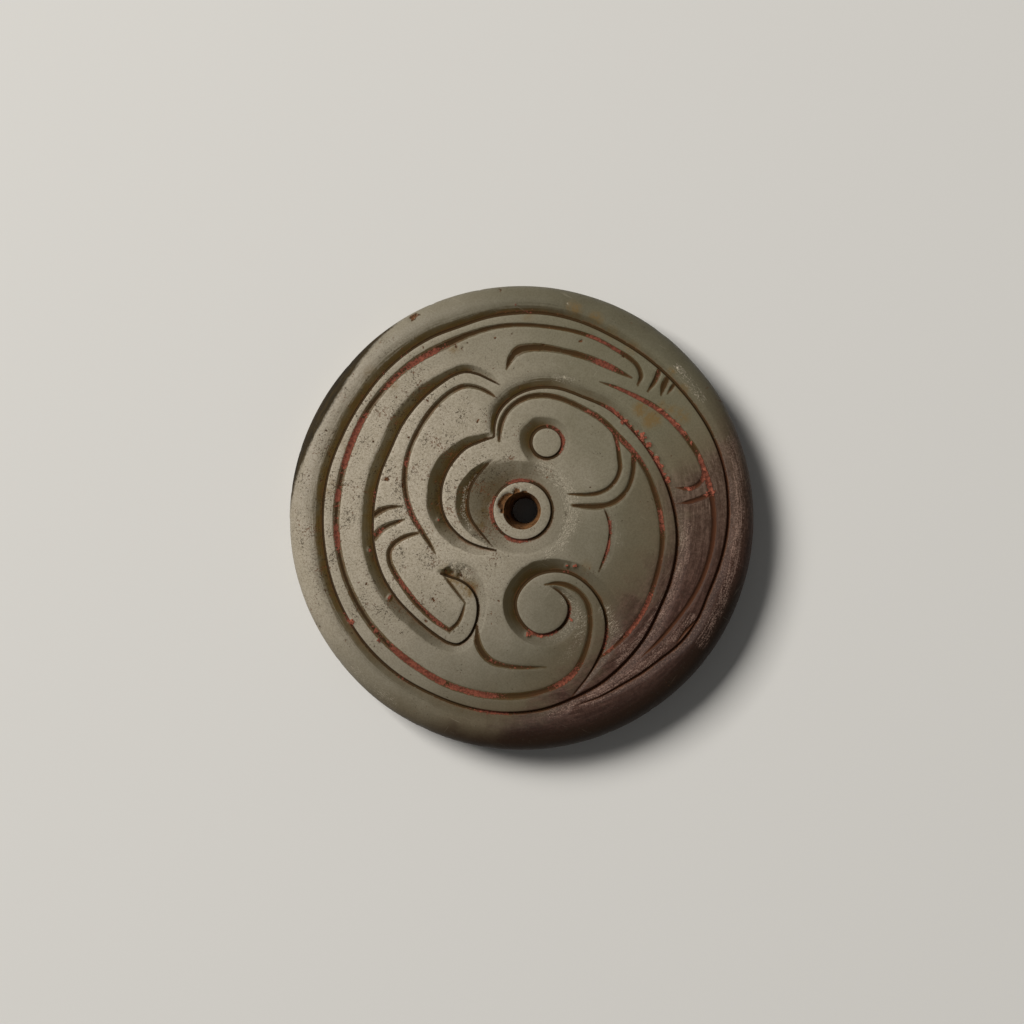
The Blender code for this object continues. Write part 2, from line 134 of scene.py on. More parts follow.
CHEEK_LINE = (
    (904, 880, 25), (954, 750, 35), (974, 610, 40), (984, 500, 40), (954, 400, 40), (884, 310, 40),
    (784, 255, 40), (664, 235, 35), (444, 240, 15))
CHEEK_CUT = (
    (1124, 620, 50), (1119, 500, 50), (1099, 390, 50), (1054, 280, 50), (974, 190, 50), (864, 135, 50),
    (734, 115, 60), (514, 125, 30))
JAW_CUT = (
    (824, 100, 20), (864, 0, 60), (884, -120, 70), (869, -250, 70), (834, -380, 70), (774, -540, 30))
HORN_LINE = (
    (-150, 1495, 22), (-100, 1610, 66), (-26, 1680, 84), (104, 1706, 72), (284, 1695, 62),
    (484, 1655, 55), (684, 1595, 55), (884, 1510, 55), (1094, 1405, 25))
FLANK_CUT = (
    (784, 1360, 15), (934, 1310, 30), (1134, 1220, 40), (1334, 1110, 45), (1504, 970, 50),
    (1644, 810, 50), (1754, 650, 50), (1834, 460, 50), (1889, 280, 50), (1919, 100, 50), (1926, -90, 50),
    (1899, -320, 50), (1824, -570, 45), (1704, -810, 45), (1544, -1030, 40), (1374, -1230, 35),
    (1164, -1420, 20))
BAND_1 = (
    (1894, 240, 45), (1784, 195, 45), (1674, 160, 40), (1554, 145, 20))
BAND_2 = (
    (1804, 540, 40), (1824, 440, 45), (1784, 350, 45), (1684, 295, 40), (1534, 305, 20))
HATCH_1 = (
    (1384, 1500, 45), (1339, 1380, 45), (1264, 1270, 20))
HATCH_2 = (
    (1464, 1410, 55), (1424, 1320, 60), (1394, 1230, 20))
HATCH_3 = (
    (1534, 1350, 35), (1494, 1290, 35), (1464, 1250, 20))
TAIL_LINE = (
    (1834, -900, 20), (1754, -1020, 30), (1644, -1130, 30), (1554, -1250, 20))

CRESCENT_CUT = (
    (-276, 600, 15), (-346, 535, 45), (-416, 460, 78), (-475, 380, 100), (-520, 290, 118), (-540, 190, 126),
    (-538, 90, 126), (-502, -20, 112), (-434, -120, 88), (-356, -215, 55), (-276, -310, 18))

# Slanted cuts: knots, side of the slope (1 is left of the way along the cut), share of the full depth, and
# how soft the upper edge of the slope is.
SLANTED = ((BODY_CUT, -1, 1.0, 0.16), (CURL_CUT, 1, 0.95, 0.06), (LIP_CUT, -1, 1.0, 0.06),
           (CREST_CUT, -1, 0.95, 0.10), (JAW_CUT, 1, 0.55, 0.10), (CRESCENT_CUT, -1, 0.75, 0.04))
LINES = (MANE_LINE, HEAD_LINE, CREST_LINE, CLAW_LINE, CLAW_TIP, CLAW_BACK, NOTCH_1, NOTCH_2, CHIN_CUT,
         CHEEK_LINE, CHEEK_CUT, HORN_LINE, FLANK_CUT, BAND_1, BAND_2, HATCH_1, HATCH_2, HATCH_3, TAIL_LINE)

# Reach of the two dishes at even turns from +X, in steps from their own middles.
RING_MIDDLE = (3, 74)
RING_DISH = (500, 500, 560, 512, 600, 648, 630, 505, 478, 445, 460, 480)
EYE_MIDDLE = (250, 755)
EYE_DISH = (225, 240, 260, 270, 298, 302, 290, 280, 268, 258, 250, 232)
DISH_SHALLOW = math.radians(-25.0)

# The flat worn on the edge: turn in degrees, and width in steps.
EDGE_FLAT = (
    (106, 0), (115, 12), (124, 30), (131, 54), (136, 82), (141, 104), (147, 122), (152, 126), (158, 112),
    (166, 66), (173, 26), (180, 0))

# Where red pigment is left in the cuts: from x, y to x, y, and how much of it in hundredths.
CINNABAR = (
    (-766, 1680, -1166, 1460, 90), (-1166, 1460, -1400, 1240, 60), (-1586, 1030, -1766, 480, 100),
    (-1806, 330, -1846, 130, 80), (-1846, -20, -1816, -340, 70), (-1496, -1100, -1446, -1180, 80),
    (-1336, -1270, -766, -1680, 100), (-766, -1680, -200, -1800, 75), (314, -1690, 584, -1500, 80),
    (634, 1830, 1034, 1620, 70), (-1236, 1700, -1196, 1660, 70), (-1466, 1480, -1406, 1420, 60),
    (-216, 2140, 184, 2100, 45), (-1786, -990, -1716, -1060, 90), (-1246, -1590, -1196, -1620, 80),
    (-486, -1920, -96, -1980, 70), (834, 1130, 1424, 380, 95), (584, 1110, 1184, 560, 50),
    (1364, 130, 1409, -170, 60), (1314, -720, 1034, -1220, 75), (904, 1330, 1664, 830, 85),
    (1764, 630, 1904, 260, 85), (1664, 295, 1700, 290, 70), (1374, 1506, 1327, 1370, 45),
    (684, 1610, 964, 1480, 85), (300, 920, 400, 870, 100), (400, 870, 425, 680, 100),
    (-296, 200, -256, -60, 90), (-200, -180, 80, -240, 85), (-160, 340, 120, 370, 70),
    (-1156, 660, -1126, 480, 60), (-1166, 230, -966, -150, 50), (-1456, -100, -1386, -180, 70),
    (-1546, 310, -1496, 180, 60), (-1236, -550, -746, -1090, 70), (-366, -1380, 134, -1500, 35),
    (864, 20, 884, -180, 75), (884, -180, 834, -420, 75), (24, -1140, 404, -1190, 65),
    (474, -870, 494, -1020, 65), (384, -460, 534, -500, 65), (844, -1070, 874, -1420, 60))

# Lumps of red pigment that stand out of the cuts: x, y and size.
RED_LUMPS = (
    (964, 1040, 26), (1024, 965, 30), (1085, 915, 20), (1150, 868, 22), (1204, 812, 40), (1262, 722, 34),
    (1300, 660, 18), (1359, 575, 34), (1395, 520, 20), (1430, 450, 18), (1468, 385, 28), (1394, 1080, 26),
    (1450, 1030, 18), (1504, 985, 26), (1559, 930, 24), (1630, 854, 22), (1700, 750, 16), (1784, 608, 26),
    (1830, 480, 16), (1880, 330, 22), (1899, 262, 34), (1850, 235, 22), (1678, 296, 22), (1640, 300, 14),
    (-1336, -800, 20), (-1526, -320, 14), (-826, -12, 14), (-1700, -1040, 26), (-1430, -1230, 26),
    (-1210, -1620, 16), (450, -478, 14), (535, -488, 20), (60, -1160, 18), (200, -1180, 18),
    (490, -1010, 16), (-170, -940, 16), (-60, 2128, 16))

# Yellow-brown stains: x, y, size, and strength in hundredths.
STAINS = (
    (-395, 60, 75, 90), (-420, -60, 55, 80), (-330, 180, 40, 50), (520, 2085, 90, 70), (730, 1980, 80, 80),
    (900, 1860, 60, 50), (1300, 980, 95, 90), (1400, 1120, 60, 60), (1190, 1090, 80, 85),
    (1600, 1020, 80, 80), (1500, 1090, 60, 60), (1500, 1460, 50, 60), (1620, 1290, 50, 70),
    (640, -480, 60, 20), (880, 1870, 50, 50), (-1290, 1330, 60, 40), (-680, 1700, 60, 60),
    (-1720, 700, 60, 50), (-1900, 300, 90, 55), (-1850, 800, 80, 55), (-1500, 1430, 90, 40),
    (-760, -520, 60, 60), (60, 2020, 60, 40), (1100, 1700, 70, 50), (-700, -585, 60, 95),
    (-610, -640, 85, 100), (-530, -700, 90, 100))

# Strokes of pale flecks on worn stone: from x, y to x, y, width, and strength in hundredths.
FLECKED = (
    (214, 520, 434, 330, 120, 80), (434, 330, 504, 130, 130, 72), (504, 130, 484, -70, 130, 70),
    (484, -70, 384, -270, 80, 80), (384, -270, 240, -370, 70, 60), (-816, -270, -560, -560, 90, 80),
    (-440, 420, -560, 300, 28, 80), (-560, 300, -590, 60, 30, 95), (-590, 60, -510, -120, 30, 80),
    (834, -920, 1034, -1320, 90, 60), (434, -780, 600, -1000, 90, 50), (600, -1000, 560, -1250, 90, 40),
    (560, -1250, 400, -1420, 80, 25), (880, 40, 980, -250, 60, 30), (2090, 780, 2170, 400, 70, 60),
    (2170, 400, 2180, 0, 70, 85), (2180, 0, 2130, -420, 70, 90), (2130, -420, 2000, -840, 70, 80),
    (2000, -840, 1800, -1250, 80, 60), (1640, -70, 1620, -400, 70, 75), (1620, -400, 1500, -700, 70, 75),
    (1500, -700, 1300, -1100, 80, 80), (1300, -1100, 1000, -1450, 90, 80),
    (1700, -1000, 1200, -1500, 70, 60), (1200, -1500, 700, -1800, 110, 70),
    (700, -1800, 300, -1950, 90, 50), (0, -2010, 560, -1980, 90, 18), (-1700, -1500, -1300, -1850, 90, 35),
    (334, 1400, 494, 1380, 60, 50), (-1500, 1560, -1000, 1900, 80, 30), (600, 1000, 900, 700, 60, 15),
    (1000, 1750, 1500, 1400, 90, 25), (1560, 1510, 1800, 1200, 70, 50))

# Brown chips of the hole's mouth: x, y, size, and depth in hundredths of a millimetre.
MOUTH_CHIPS = (
    (-178, 158, 88, 40), (-110, 205, 74, 40), (-56, 258, 50, 28), (-160, 80, 66, 36), (-130, 140, 90, 44),
    (30, 250, 46, 20))

# Listed pits and chips: x, y, size, depth in hundredths of a millimetre, and how pale (100) or dark
# (-100) each is.
CHIPS = (
    (-1350, 390, 34, 9, -85), (-1186, 320, 24, 7, -80), (-1046, 2030, 24, 8, -50),
    (-1316, 2020, 20, 8, -60), (-266, 1800, 24, 8, -75), (-656, 1720, 32, 9, -55), (-596, 1690, 26, 8, -55),
    (-540, 1745, 20, 7, -50), (594, 1770, 26, 8, -75), (214, 1730, 22, 7, -60), (-986, 1700, 20, 7, -60),
    (-946, 1170, 26, 8, -70), (-436, 970, 22, 7, -75), (-216, -830, 24, 9, -70), (-886, -820, 26, 8, -75),
    (-836, -700, 18, 6, -60), (-766, -520, 30, 12, -55), (-700, -545, 34, 12, -45),
    (-610, -566, 40, 12, -45), (-690, -470, 38, 8, 50), (-636, -508, 26, 6, 45), (-560, -500, 28, 6, 40),
    (-745, -440, 18, 5, 45), (-590, -455, 16, 5, 45), (434, 1412, 26, 4, 40), (454, 2150, 30, 4, 30),
    (40, 318, 16, 6, 55), (88, 300, 14, 6, 55), (-18, 322, 12, 6, 50), (1014, 1620, 22, 6, -50),
    (-1546, -660, 24, 7, -60), (-1700, 620, 18, 6, -70), (-1480, 760, 20, 6, -70), (-1420, 900, 16, 6, -60),
    (-1130, 820, 20, 7, -70), (-986, 640, 15, 5, -60), (-1010, 380, 18, 6, -60), (-830, 180, 14, 5, -60),
    (-1226, -30, 20, 7, -60), (-1780, -1560, 60, 30, -40), (-2036, -1100, 40, 20, -30),
    (-1090, 2020, 60, 16, -60), (-216, 2290, 30, 14, -50), (1560, 1510, 26, 6, 60),
    (-1960, 880, 20, 6, -60), (-2130, 420, 16, 6, -60), (-2080, -330, 20, 6, -50),
    (-960, -1030, 18, 6, -60), (690, 300, 14, 4, -50), (760, 960, 12, 4, -50), (-1256, 1210, 18, 6, -70),
    (-1300, 1350, 22, 7, -60))

# Edge of the brown, altered stone: x, y in steps. That stone lies to the left of the way along this line.
ALTERED_EDGE = (
    (2250, 2600), (2230, 1500), (2130, 1180), (1930, 800), (1690, 520), (1510, 300), (1450, -20),
    (1400, -300), (1240, -600), (1000, -900), (740, -1300), (540, -1600), (260, -1880), (-200, -2040),
    (-900, -2120), (-1700, -2060), (-2300, -1900))

# Form of the uncarved disc, in millimetres unless it says otherwise.
FACE_CROWN = 0.2
FLAT_STEEPNESS = 0.9
FLAT_BEND = 1.5
GROOVE_INSET = 2.45
GROOVE_HALF = 0.45
GROOVE_DEPTH = 0.18
BACK_MOUTH_SHARE = 0.95
WAIST_HEIGHT_SHARE = 0.46
WAIST_SHIFT = 0.33
EDGE_POINTS = 660
HOLE_POINTS = 110

# How closely the cuts are followed: points worked out from one knot to the next, and the even spacing in
# millimetres where a cut is measured and where the mesh is laid along it.
POINTS_TO_A_KNOT = 24
MEASURED_SPACING = 0.22
LAID_SPACING = 0.17

# The unevenness of a slanted cut or of a line is drawn by this number plus its place in its table.
SLANTED_SEED = 100
LINE_SEED = 200

# Marks of the cuts, in millimetres: the dark line along the foot of a cut, the rust beside it, and how
# thick the red pigment lies.
FOOT_SHIFT = 0.035
FOOT_LINE = 0.115
RUST_REACH = 0.26
DISH_RUST_REACH = 0.30
RUST_ON_WALL = 0.12
LUMP_HEIGHT = 0.07
PIGMENT_FILL = 0.03

# The disc's mesh stays under this many triangles.
MOST_FACES = 200000

# What is stored on the points of the disc for its shape and its finish.
VALUES = ("cut_depth", "chip_depth", "slope", "line", "foot", "red", "lump", "along", "near", "coat",
          "flecked", "across", "stain", "tone", "altered", "hole", "face")

# The stage, in metres: the floor's width, its small gap under the pendant, and how far the camera stands
# off the disc's middle, as in the photo.
FLOOR_WIDTH = 3.0
FLOOR_GAP = 0.00002
CAMERA_OFFSET = (-0.00096, 0.0006)

# Places on the stone that its finish goes by, in millimetres, and the way away from the key light: slopes
# that face that way get painted shade, and slopes that face the other way get painted highlights.
# The middle of the pale side, which is also the middle of the painted light fall-off.
PALE_AND_LIT_MIDDLE = (-13.6, 3.0, 5.0)
MOUTH_MIDDLE = (-4.0, -4.0, 5.0)
AWAY_FROM_LIGHT = (0.88, -0.47, 0.0)

# The dark flat of the worn edge: its middle and half its length in radians, its width in millimetres.
FLAT_TURN = 2.609
FLAT_HALF_TURN = 0.66
FLAT_WIDTH = 1.26


class PendantShape(bpy.types.PropertyGroup):
    """Sizes of the pendant that a user would change."""
    width: FloatProperty(
        name="Width", description="Distance across the disc", default=HIGH[0] - LOW[0], min=0.01,
        unit="LENGTH", subtype="DISTANCE")
    thickness: FloatProperty(
        name="Thickness", description="Height of the carved face over the underside",
        default=HIGH[2] - LOW[2], min=0.001, unit="LENGTH", subtype="DISTANCE")
    slope_depth: FloatProperty(
        name="Slope depth", description="Depth of the slanted cuts at their foot", default=0.00042,
        min=0.0, unit="LENGTH", subtype="DISTANCE")
    line_depth: FloatProperty(
        name="Line depth", description="Depth of the plain cut lines", default=0.00015, min=0.0,
        unit="LENGTH", subtype="DISTANCE")
    wall_run: FloatProperty(
        name="Wall run", description="Width of the short wall of a slanted cut", default=0.00014,
        min=0.00005, unit="LENGTH", subtype="DISTANCE")
    rim_round: FloatProperty(
        name="Rim rounding", description="How far in the rounding of the rim reaches", default=0.0022,
        min=0.0005, unit="LENGTH", subtype="DISTANCE")
    rim_drop: FloatProperty(
        name="Rim drop", description="How far down the rounding of the rim comes", default=0.0018,
        min=0.0005, unit="LENGTH", subtype="DISTANCE")
    back_round: FloatProperty(
        name="Back rounding", description="Rounding of the edge of the underside", default=0.0008,
        min=0.0002, unit="LENGTH", subtype="DISTANCE")
    hole_mouth: FloatProperty(
        name="Hole mouth", description="Distance across the mouth of the cord hole", default=0.0038,
        min=0.001, unit="LENGTH", subtype="DISTANCE")
    hole_waist: FloatProperty(
        name="Hole waist", description="Distance across the narrowest place of the cord hole",
        default=0.00246, min=0.0005, unit="LENGTH", subtype="DISTANCE")
    ring_width: FloatProperty(
        name="Ring width", description="Width of the flat ring round the hole", default=0.00108,
        min=0.0002, unit="LENGTH", subtype="DISTANCE")
    eye_width: FloatProperty(
        name="Eye width", description="Distance across the raised eye", default=0.0031, min=0.0005,
        unit="LENGTH", subtype="DISTANCE")
    grain: FloatProperty(
        name="Mesh grain", description="Distance between points on the plain parts of the face",
        default=0.00022, min=0.0001, unit="LENGTH", subtype="DISTANCE")
    unevenness: FloatProperty(
        name="Unevenness", description="How far the polished face wanders from true", default=0.00001,
        min=0.0, unit="LENGTH", subtype="DISTANCE")
    seed: IntProperty(
        name="Seed", description="Picks the small accidents of the surface", default=7, min=0)


class PendantColours(bpy.types.PropertyGroup):
    """Colours of the stone and of what lies in its cuts."""
    pale: FloatVectorProperty(
        name="Pale stone", description="Weathered grey-green of the left side", subtype="COLOR",
        size=4, min=0.0, max=1.0, default=(0.372, 0.327, 0.257, 1.0))
    green: FloatVectorProperty(
        name="Green stone", description="Clearer green-grey of the middle", subtype="COLOR",
        size=4, min=0.0, max=1.0, default=(0.112, 0.101, 0.066, 1.0))
    olive: FloatVectorProperty(
        name="Grey olive", description="Patina of the upper slopes and of the lines", subtype="COLOR",
        size=4, min=0.0, max=1.0, default=(0.088, 0.070, 0.038, 1.0))
    deep_olive: FloatVectorProperty(
        name="Deep olive", description="Browner patina near the foot of the slopes", subtype="COLOR",
        size=4, min=0.0, max=1.0, default=(0.078, 0.048, 0.012, 1.0))
    stained: FloatVectorProperty(
        name="Yellow-brown stain", description="Stains on the pale stone", subtype="COLOR",
        size=4, min=0.0, max=1.0, default=(0.135, 0.085, 0.030, 1.0))
    rust: FloatVectorProperty(
        name="Rust", description="Red-brown stain along the cuts", subtype="COLOR",
        size=4, min=0.0, max=1.0, default=(0.110, 0.042, 0.014, 1.0))
    brown: FloatVectorProperty(
        name="Altered brown", description="Red-brown of the altered side", subtype="COLOR",
        size=4, min=0.0, max=1.0, default=(0.052, 0.030, 0.020, 1.0))
    mauve: FloatVectorProperty(
        name="Altered mauve", description="Greyer patches of the altered side", subtype="COLOR",
        size=4, min=0.0, max=1.0, default=(0.112, 0.074, 0.055, 1.0))
    residue: FloatVectorProperty(
        name="Residue", description="Dark matter left in the cuts and pits", subtype="COLOR",
        size=4, min=0.0, max=1.0, default=(0.030, 0.016, 0.005, 1.0))
    red: FloatVectorProperty(
        name="Red pigment", description="Red pigment left in the cuts", subtype="COLOR",
        size=4, min=0.0, max=1.0, default=(0.20, 0.060, 0.036, 1.0))
    chipped: FloatVectorProperty(
        name="Chipped stone", description="Pale bruises and fresh chips", subtype="COLOR",
        size=4, min=0.0, max=1.0, default=(0.50, 0.44, 0.34, 1.0))
    hole: FloatVectorProperty(
        name="Hole wall", description="Stained wall of the cord hole", subtype="COLOR",
        size=4, min=0.0, max=1.0, default=(0.16, 0.075, 0.028, 1.0))


class PendantStage(bpy.types.PropertyGroup):
    """Camera, lights and floor."""
    camera_height: FloatProperty(
        name="Camera height", description="Height of the camera over the carved face", default=0.2820,
        min=0.05, unit="LENGTH", subtype="DISTANCE")
    key_power: FloatProperty(
        name="Key light", description="Power of the soft light from the left, in watts", default=21.6,
        min=0.0)
    fill_power: FloatProperty(
        name="Fill light", description="Power of the wide light overhead, in watts", default=0.15, min=0.0)
    floor_colour: FloatVectorProperty(
        name="Floor", description="Colour of the floor", subtype="COLOR", size=4, min=0.0, max=1.0,
        default=(0.60, 0.595, 0.58, 1.0))


def soft_noise(points, size, seed):
    """Smooth random values between -1 and 1 that change over about the given size."""
    cells = 97
    lattice = np.random.default_rng(seed).uniform(-1.0, 1.0, (cells, cells))
    place = points / size
    cell = np.floor(place).astype(int)
    part = place - cell
    part = part * part * (3.0 - 2.0 * part)
    x0, y0 = cell[:, 0] % cells, cell[:, 1] % cells
    x1, y1 = (x0 + 1) % cells, (y0 + 1) % cells
    low = lattice[x0, y0] * (1 - part[:, 0]) + lattice[x1, y0] * part[:, 0]
    high = lattice[x0, y1] * (1 - part[:, 0]) + lattice[x1, y1] * part[:, 0]
    return low * (1 - part[:, 1]) + high * part[:, 1]


def noise_along(run, size, seed):
    """The same kind of noise along a line."""
    return soft_noise(np.stack([run, np.full(len(run), 0.37 * size)], axis=1), size, seed)


def ease(low, high, value):
    """0 below low, 1 above high, and smooth between them."""
    share = np.clip((value - low) / (high - low), 0.0, 1.0)
    return share * share * (3.0 - 2.0 * share)


def ramp(value, softness):
    """A straight ramp from 0 at 0 to 1 at 1, with its lower end rounded off."""
    top = (1.0 + math.sqrt(1.0 + softness * softness)) / 2.0
    return (value + np.sqrt(value * value + softness * softness)) / 2.0 / top


def smooth_line(knots, spacing):
    """Evenly spaced points (x, y, width) of the smooth line through the knots, in millimetres."""
    knots = np.array(knots, dtype=float) * STEP
    padded = np.vstack([2 * knots[0] - knots[1], knots, 2 * knots[-1] - knots[-2]])
    points = []
    for first in range(len(padded) - 3):
        p0, p1, p2, p3 = padded[first:first + 4]
        gaps = [math.sqrt(np.linalg.norm((b - a)[:2])) for a, b in ((p0, p1), (p1, p2), (p2, p3))]
        t1 = gaps[0]
        t2 = t1 + gaps[1]
        t3 = t2 + gaps[2]
        t = np.linspace(t1, t2, POINTS_TO_A_KNOT, endpoint=False)[:, None]
        a1 = ((t1 - t) * p0 + t * p1) / t1
        a2 = ((t2 - t) * p1 + (t - t1) * p2) / (t2 - t1)
        a3 = ((t3 - t) * p2 + (t - t2) * p3) / (t3 - t2)
        b1 = ((t2 - t) * a1 + t * a2) / t2
        b2 = ((t3 - t) * a2 + (t - t1) * a3) / (t3 - t1)
        points.append(((t2 - t) * b1 + (t - t1) * b2) / (t2 - t1))
    points.append(knots[-1:])
    points = np.vstack(points)
    run = np.concatenate([[0.0], np.cumsum(np.linalg.norm(np.diff(points[:, :2], axis=0), axis=1))])
    steps = max(2, int(round(run[-1] / spacing)))
    even = np.linspace(0.0, run[-1], steps + 1)
    return np.stack([np.interp(even, run, points[:, column]) for column in range(3)], axis=1)


def nearest_on_line(points, line):
    """Distance to the line, side of it (1 is left) and index along it, for every point."""
    start = line[:-1, :2]
    step = line[1:, :2] - start
    length = np.einsum("ij,ij->i", step, step)
    distance = np.empty(len(points))
    side = np.empty(len(points))
    place = np.empty(len(points))
    batch = 2500
    for first in range(0, len(points), batch):
        part = slice(first, first + batch)
        some = points[part]
        rel = some[:, None, :] - start[None]
        share = np.clip(np.einsum("nij,ij->ni", rel, step) / length, 0.0, 1.0)
        gap = rel - share[..., None] * step[None]
        square = np.einsum("nij,nij->ni", gap, gap)
        best = np.argmin(square, axis=1)
        rows = np.arange(len(some))
        cross = step[best, 0] * rel[rows, best, 1] - step[best, 1] * rel[rows, best, 0]
        distance[part] = np.sqrt(square[rows, best])
        side[part] = np.where(cross >= 0.0, 1.0, -1.0)
        place[part] = best + share[rows, best]
    return distance, side, place


def within_reach(points, line, reach):
    every = 4
    coarse = line[::every, :2]
    spacing = np.linalg.norm(line[1, :2] - line[0, :2]) * every
    near = np.zeros(len(points), dtype=bool)
    batch = 20000
    for first in range(0, len(points), batch):
        part = slice(first, first + batch)
        square = ((points[part, None, :] - coarse[None]) ** 2).sum(axis=2).min(axis=1)
        near[part] = square < (reach + spacing) ** 2
    return near


def foot_line(height):
    """1 in the thin line along the foot of a cut; height is the distance from the foot up the slope."""
    return np.exp(-((height + FOOT_SHIFT) / FOOT_LINE) ** 4)


def beside_foot(height, reach):
    """1 at the foot of a cut, fading up its slope."""
    return np.exp(-(np.maximum(height, 0.0) / reach) ** 2) * (height > -RUST_ON_WALL)


def uneven_width(width, run, number):
    """Widths along a cut, made a little uneven as by hand."""
    return width * (1.0 + 0.05 * noise_along(run, 1.7, number) + 0.04 * noise_along(run, 0.6, number + 50))


class Relief:
    """What the carving does at each point of the face: depth in millimetres, and masks for the finish."""

    def __init__(self, points, shape):
        count = len(points)
        self.points = points
        self.shape = shape
        self.depth = np.zeros(count)
        self.slope = np.zeros(count)
        self.line = np.zeros(count)
        self.foot = np.zeros(count)
        self.along = np.zeros(count)
        self.across = np.zeros(count)
        self.near = np.zeros(count)
        self.coat = np.zeros(count)

    def take(self, where, depth, along, across, slope=0.0, line=0.0, foot=0.0, near=0.0, coat=0.0):
        """Takes in one new cut: it shows where it is the deeper one, and its marks add to what is there."""
        deeper = depth > self.depth[where]
        at = where[deeper]
        self.depth[at] = depth[deeper]
        self.along[at] = along[deeper]
        self.across[at] = across[deeper]
        for stored, mark in ((self.slope, slope), (self.line, line)):
            stored[at] = np.maximum(stored[at], np.broadcast_to(mark, len(where))[deeper])
        for stored, mark in ((self.foot, foot), (self.near, near), (self.coat, coat)):
            stored[where] = np.maximum(stored[where], mark)

    def measure(self, knots, number):
        """The points that a cut reaches, and where each lies on it."""
        line = smooth_line(knots, MEASURED_SPACING)
        where = np.nonzero(within_reach(self.points, line, line[:, 2].max() * 1.3 + 0.3))[0]
        distance, side, place = nearest_on_line(self.points[where], line)
        width = np.interp(place, np.arange(len(line)), line[:, 2])
        step = np.linalg.norm(line[1, :2] - line[0, :2])
        run = place * step
        ends = ease(0.0, 0.7, run) * ease(0.0, 0.7, (len(line) - 1) * step - run)
        return where, distance, side, uneven_width(width, run, number), run, 0.25 + 0.75 * ends

    def slanted(self, knots, slope_side, share_of_depth, softness, number):
        """A slanted cut: a broad slope on one side and a short wall on the other."""
        where, distance, side, width, run, ends = self.measure(knots, number)
        deepest = self.shape.slope_depth * MM * share_of_depth * np.minimum(1.0, width / 1.15) ** 0.8 * ends
        deepest *= 1.0 + 0.08 * noise_along(run, 2.4, number + 20)
        wall = np.minimum(self.shape.wall_run * MM, width)
        on_slope = side == slope_side
        slope = ramp(1.0 - distance / width, softness) ** (1.0 + softness)
        cliff = ramp(1.0 - distance / wall, 0.24)
        share = np.where(on_slope, slope, cliff)
        share = np.where(share < 0.012, 0.0, share)
        full = np.minimum(1.0, width / 0.9)
        signed = np.where(on_slope, distance, -distance)
        coat = ease(0.0, 0.12 + 36.0 * softness ** 2, slope) * on_slope * full
        self.take(where, deepest * share, run, signed, slope=share * full, foot=foot_line(signed) * full,
                  near=beside_foot(signed, RUST_REACH) * full, coat=coat)

    def plain(self, knots, number):
        """A plain cut line with a rounded floor."""
        where, distance, side, width, run, ends = self.measure(knots, number)
        half = width * 0.6
        full = np.minimum(1.0, half / 0.22)
        deepest = self.shape.line_depth * MM * full ** 0.7 * ends
        deepest *= 1.0 + 0.12 * noise_along(run, 1.9, number + 20)
        inside = ramp(1.0 - (distance / half) ** 2, 0.16)
        inside = np.where(distance > half * 1.5, 0.0, inside)
        inside = np.where(inside < 0.02, 0.0, inside)
        self.take(where, deepest * inside, run, distance * side, line=inside * full,
                  foot=np.exp(-(distance / (0.5 * half)) ** 2) * full * 0.6, near=inside * full)

    def dish(self, middle, inner, reach, deepest, number):
        """A dish sunk round a flat island, with its own reach at every turn."""
        middle = np.array(middle) * STEP
        rel = self.points - middle
        distance = np.linalg.norm(rel, axis=1)
        angle = np.mod(np.arctan2(rel[:, 1], rel[:, 0]), 2.0 * np.pi)
        knots = np.array(reach + reach[:1]) * STEP
        outer = np.interp(angle, np.linspace(0.0, 2.0 * np.pi, len(knots)), knots)
        outer = outer * (1.0 + 0.03 * noise_along(angle * 3.0, 1.0, number))
        where = np.nonzero((distance < outer * 1.25) & (distance > inner - 0.35))[0]
        distance, outer, angle = distance[where], outer[where], angle[where]
        slope = ramp((outer - distance) / (outer - inner), 0.14) ** 1.15
        wall = ramp((distance - inner) / (self.shape.wall_run * MM) + 1.0, 0.24)
        share = np.where(distance > inner, slope, wall)
        share = np.where(share < 0.02, 0.0, np.minimum(share, 1.0))
        deepest = deepest * (0.80 - 0.20 * np.cos(angle - DISH_SHALLOW))
        height = distance - inner
        self.take(where, deepest * share, angle * distance, distance, slope=share, foot=foot_line(height),
                  near=beside_foot(height, DISH_RUST_REACH), coat=ease(0.0, 0.35, share) * (height > 0.0))

    def all_cuts(self):
        """Makes every cut of the design, each with its own number for its unevenness."""
        shape = self.shape
        ring = (shape.hole_mouth / 2.0 + shape.ring_width) * MM
        self.dish(RING_MIDDLE, ring, RING_DISH, shape.slope_depth * MM * 0.95, 61)
        self.dish(EYE_MIDDLE, shape.eye_width * MM / 2.0, EYE_DISH, shape.slope_depth * MM * 0.8, 62)
        for number, (knots, side, share_of_depth, softness) in enumerate(SLANTED):
            self.slanted(knots, side, share_of_depth, softness, SLANTED_SEED + number)
        for number, knots in enumerate(LINES):
            self.plain(knots, LINE_SEED + number)
        return self


def capsule(points, x0, y0, x1, y1):
    """Distance of every point from a short straight line, and how far along it the nearest end is."""
    a = np.array([x0, y0]) * STEP
    b = np.array([x1, y1]) * STEP
    step = b - a
    share = np.clip((points - a) @ step / max(step @ step, 1e-9), 0.0, 1.0)
    from_end = np.minimum(share, 1.0 - share) * np.linalg.norm(step)
    return np.linalg.norm(points - a - share[:, None] * step, axis=1), from_end


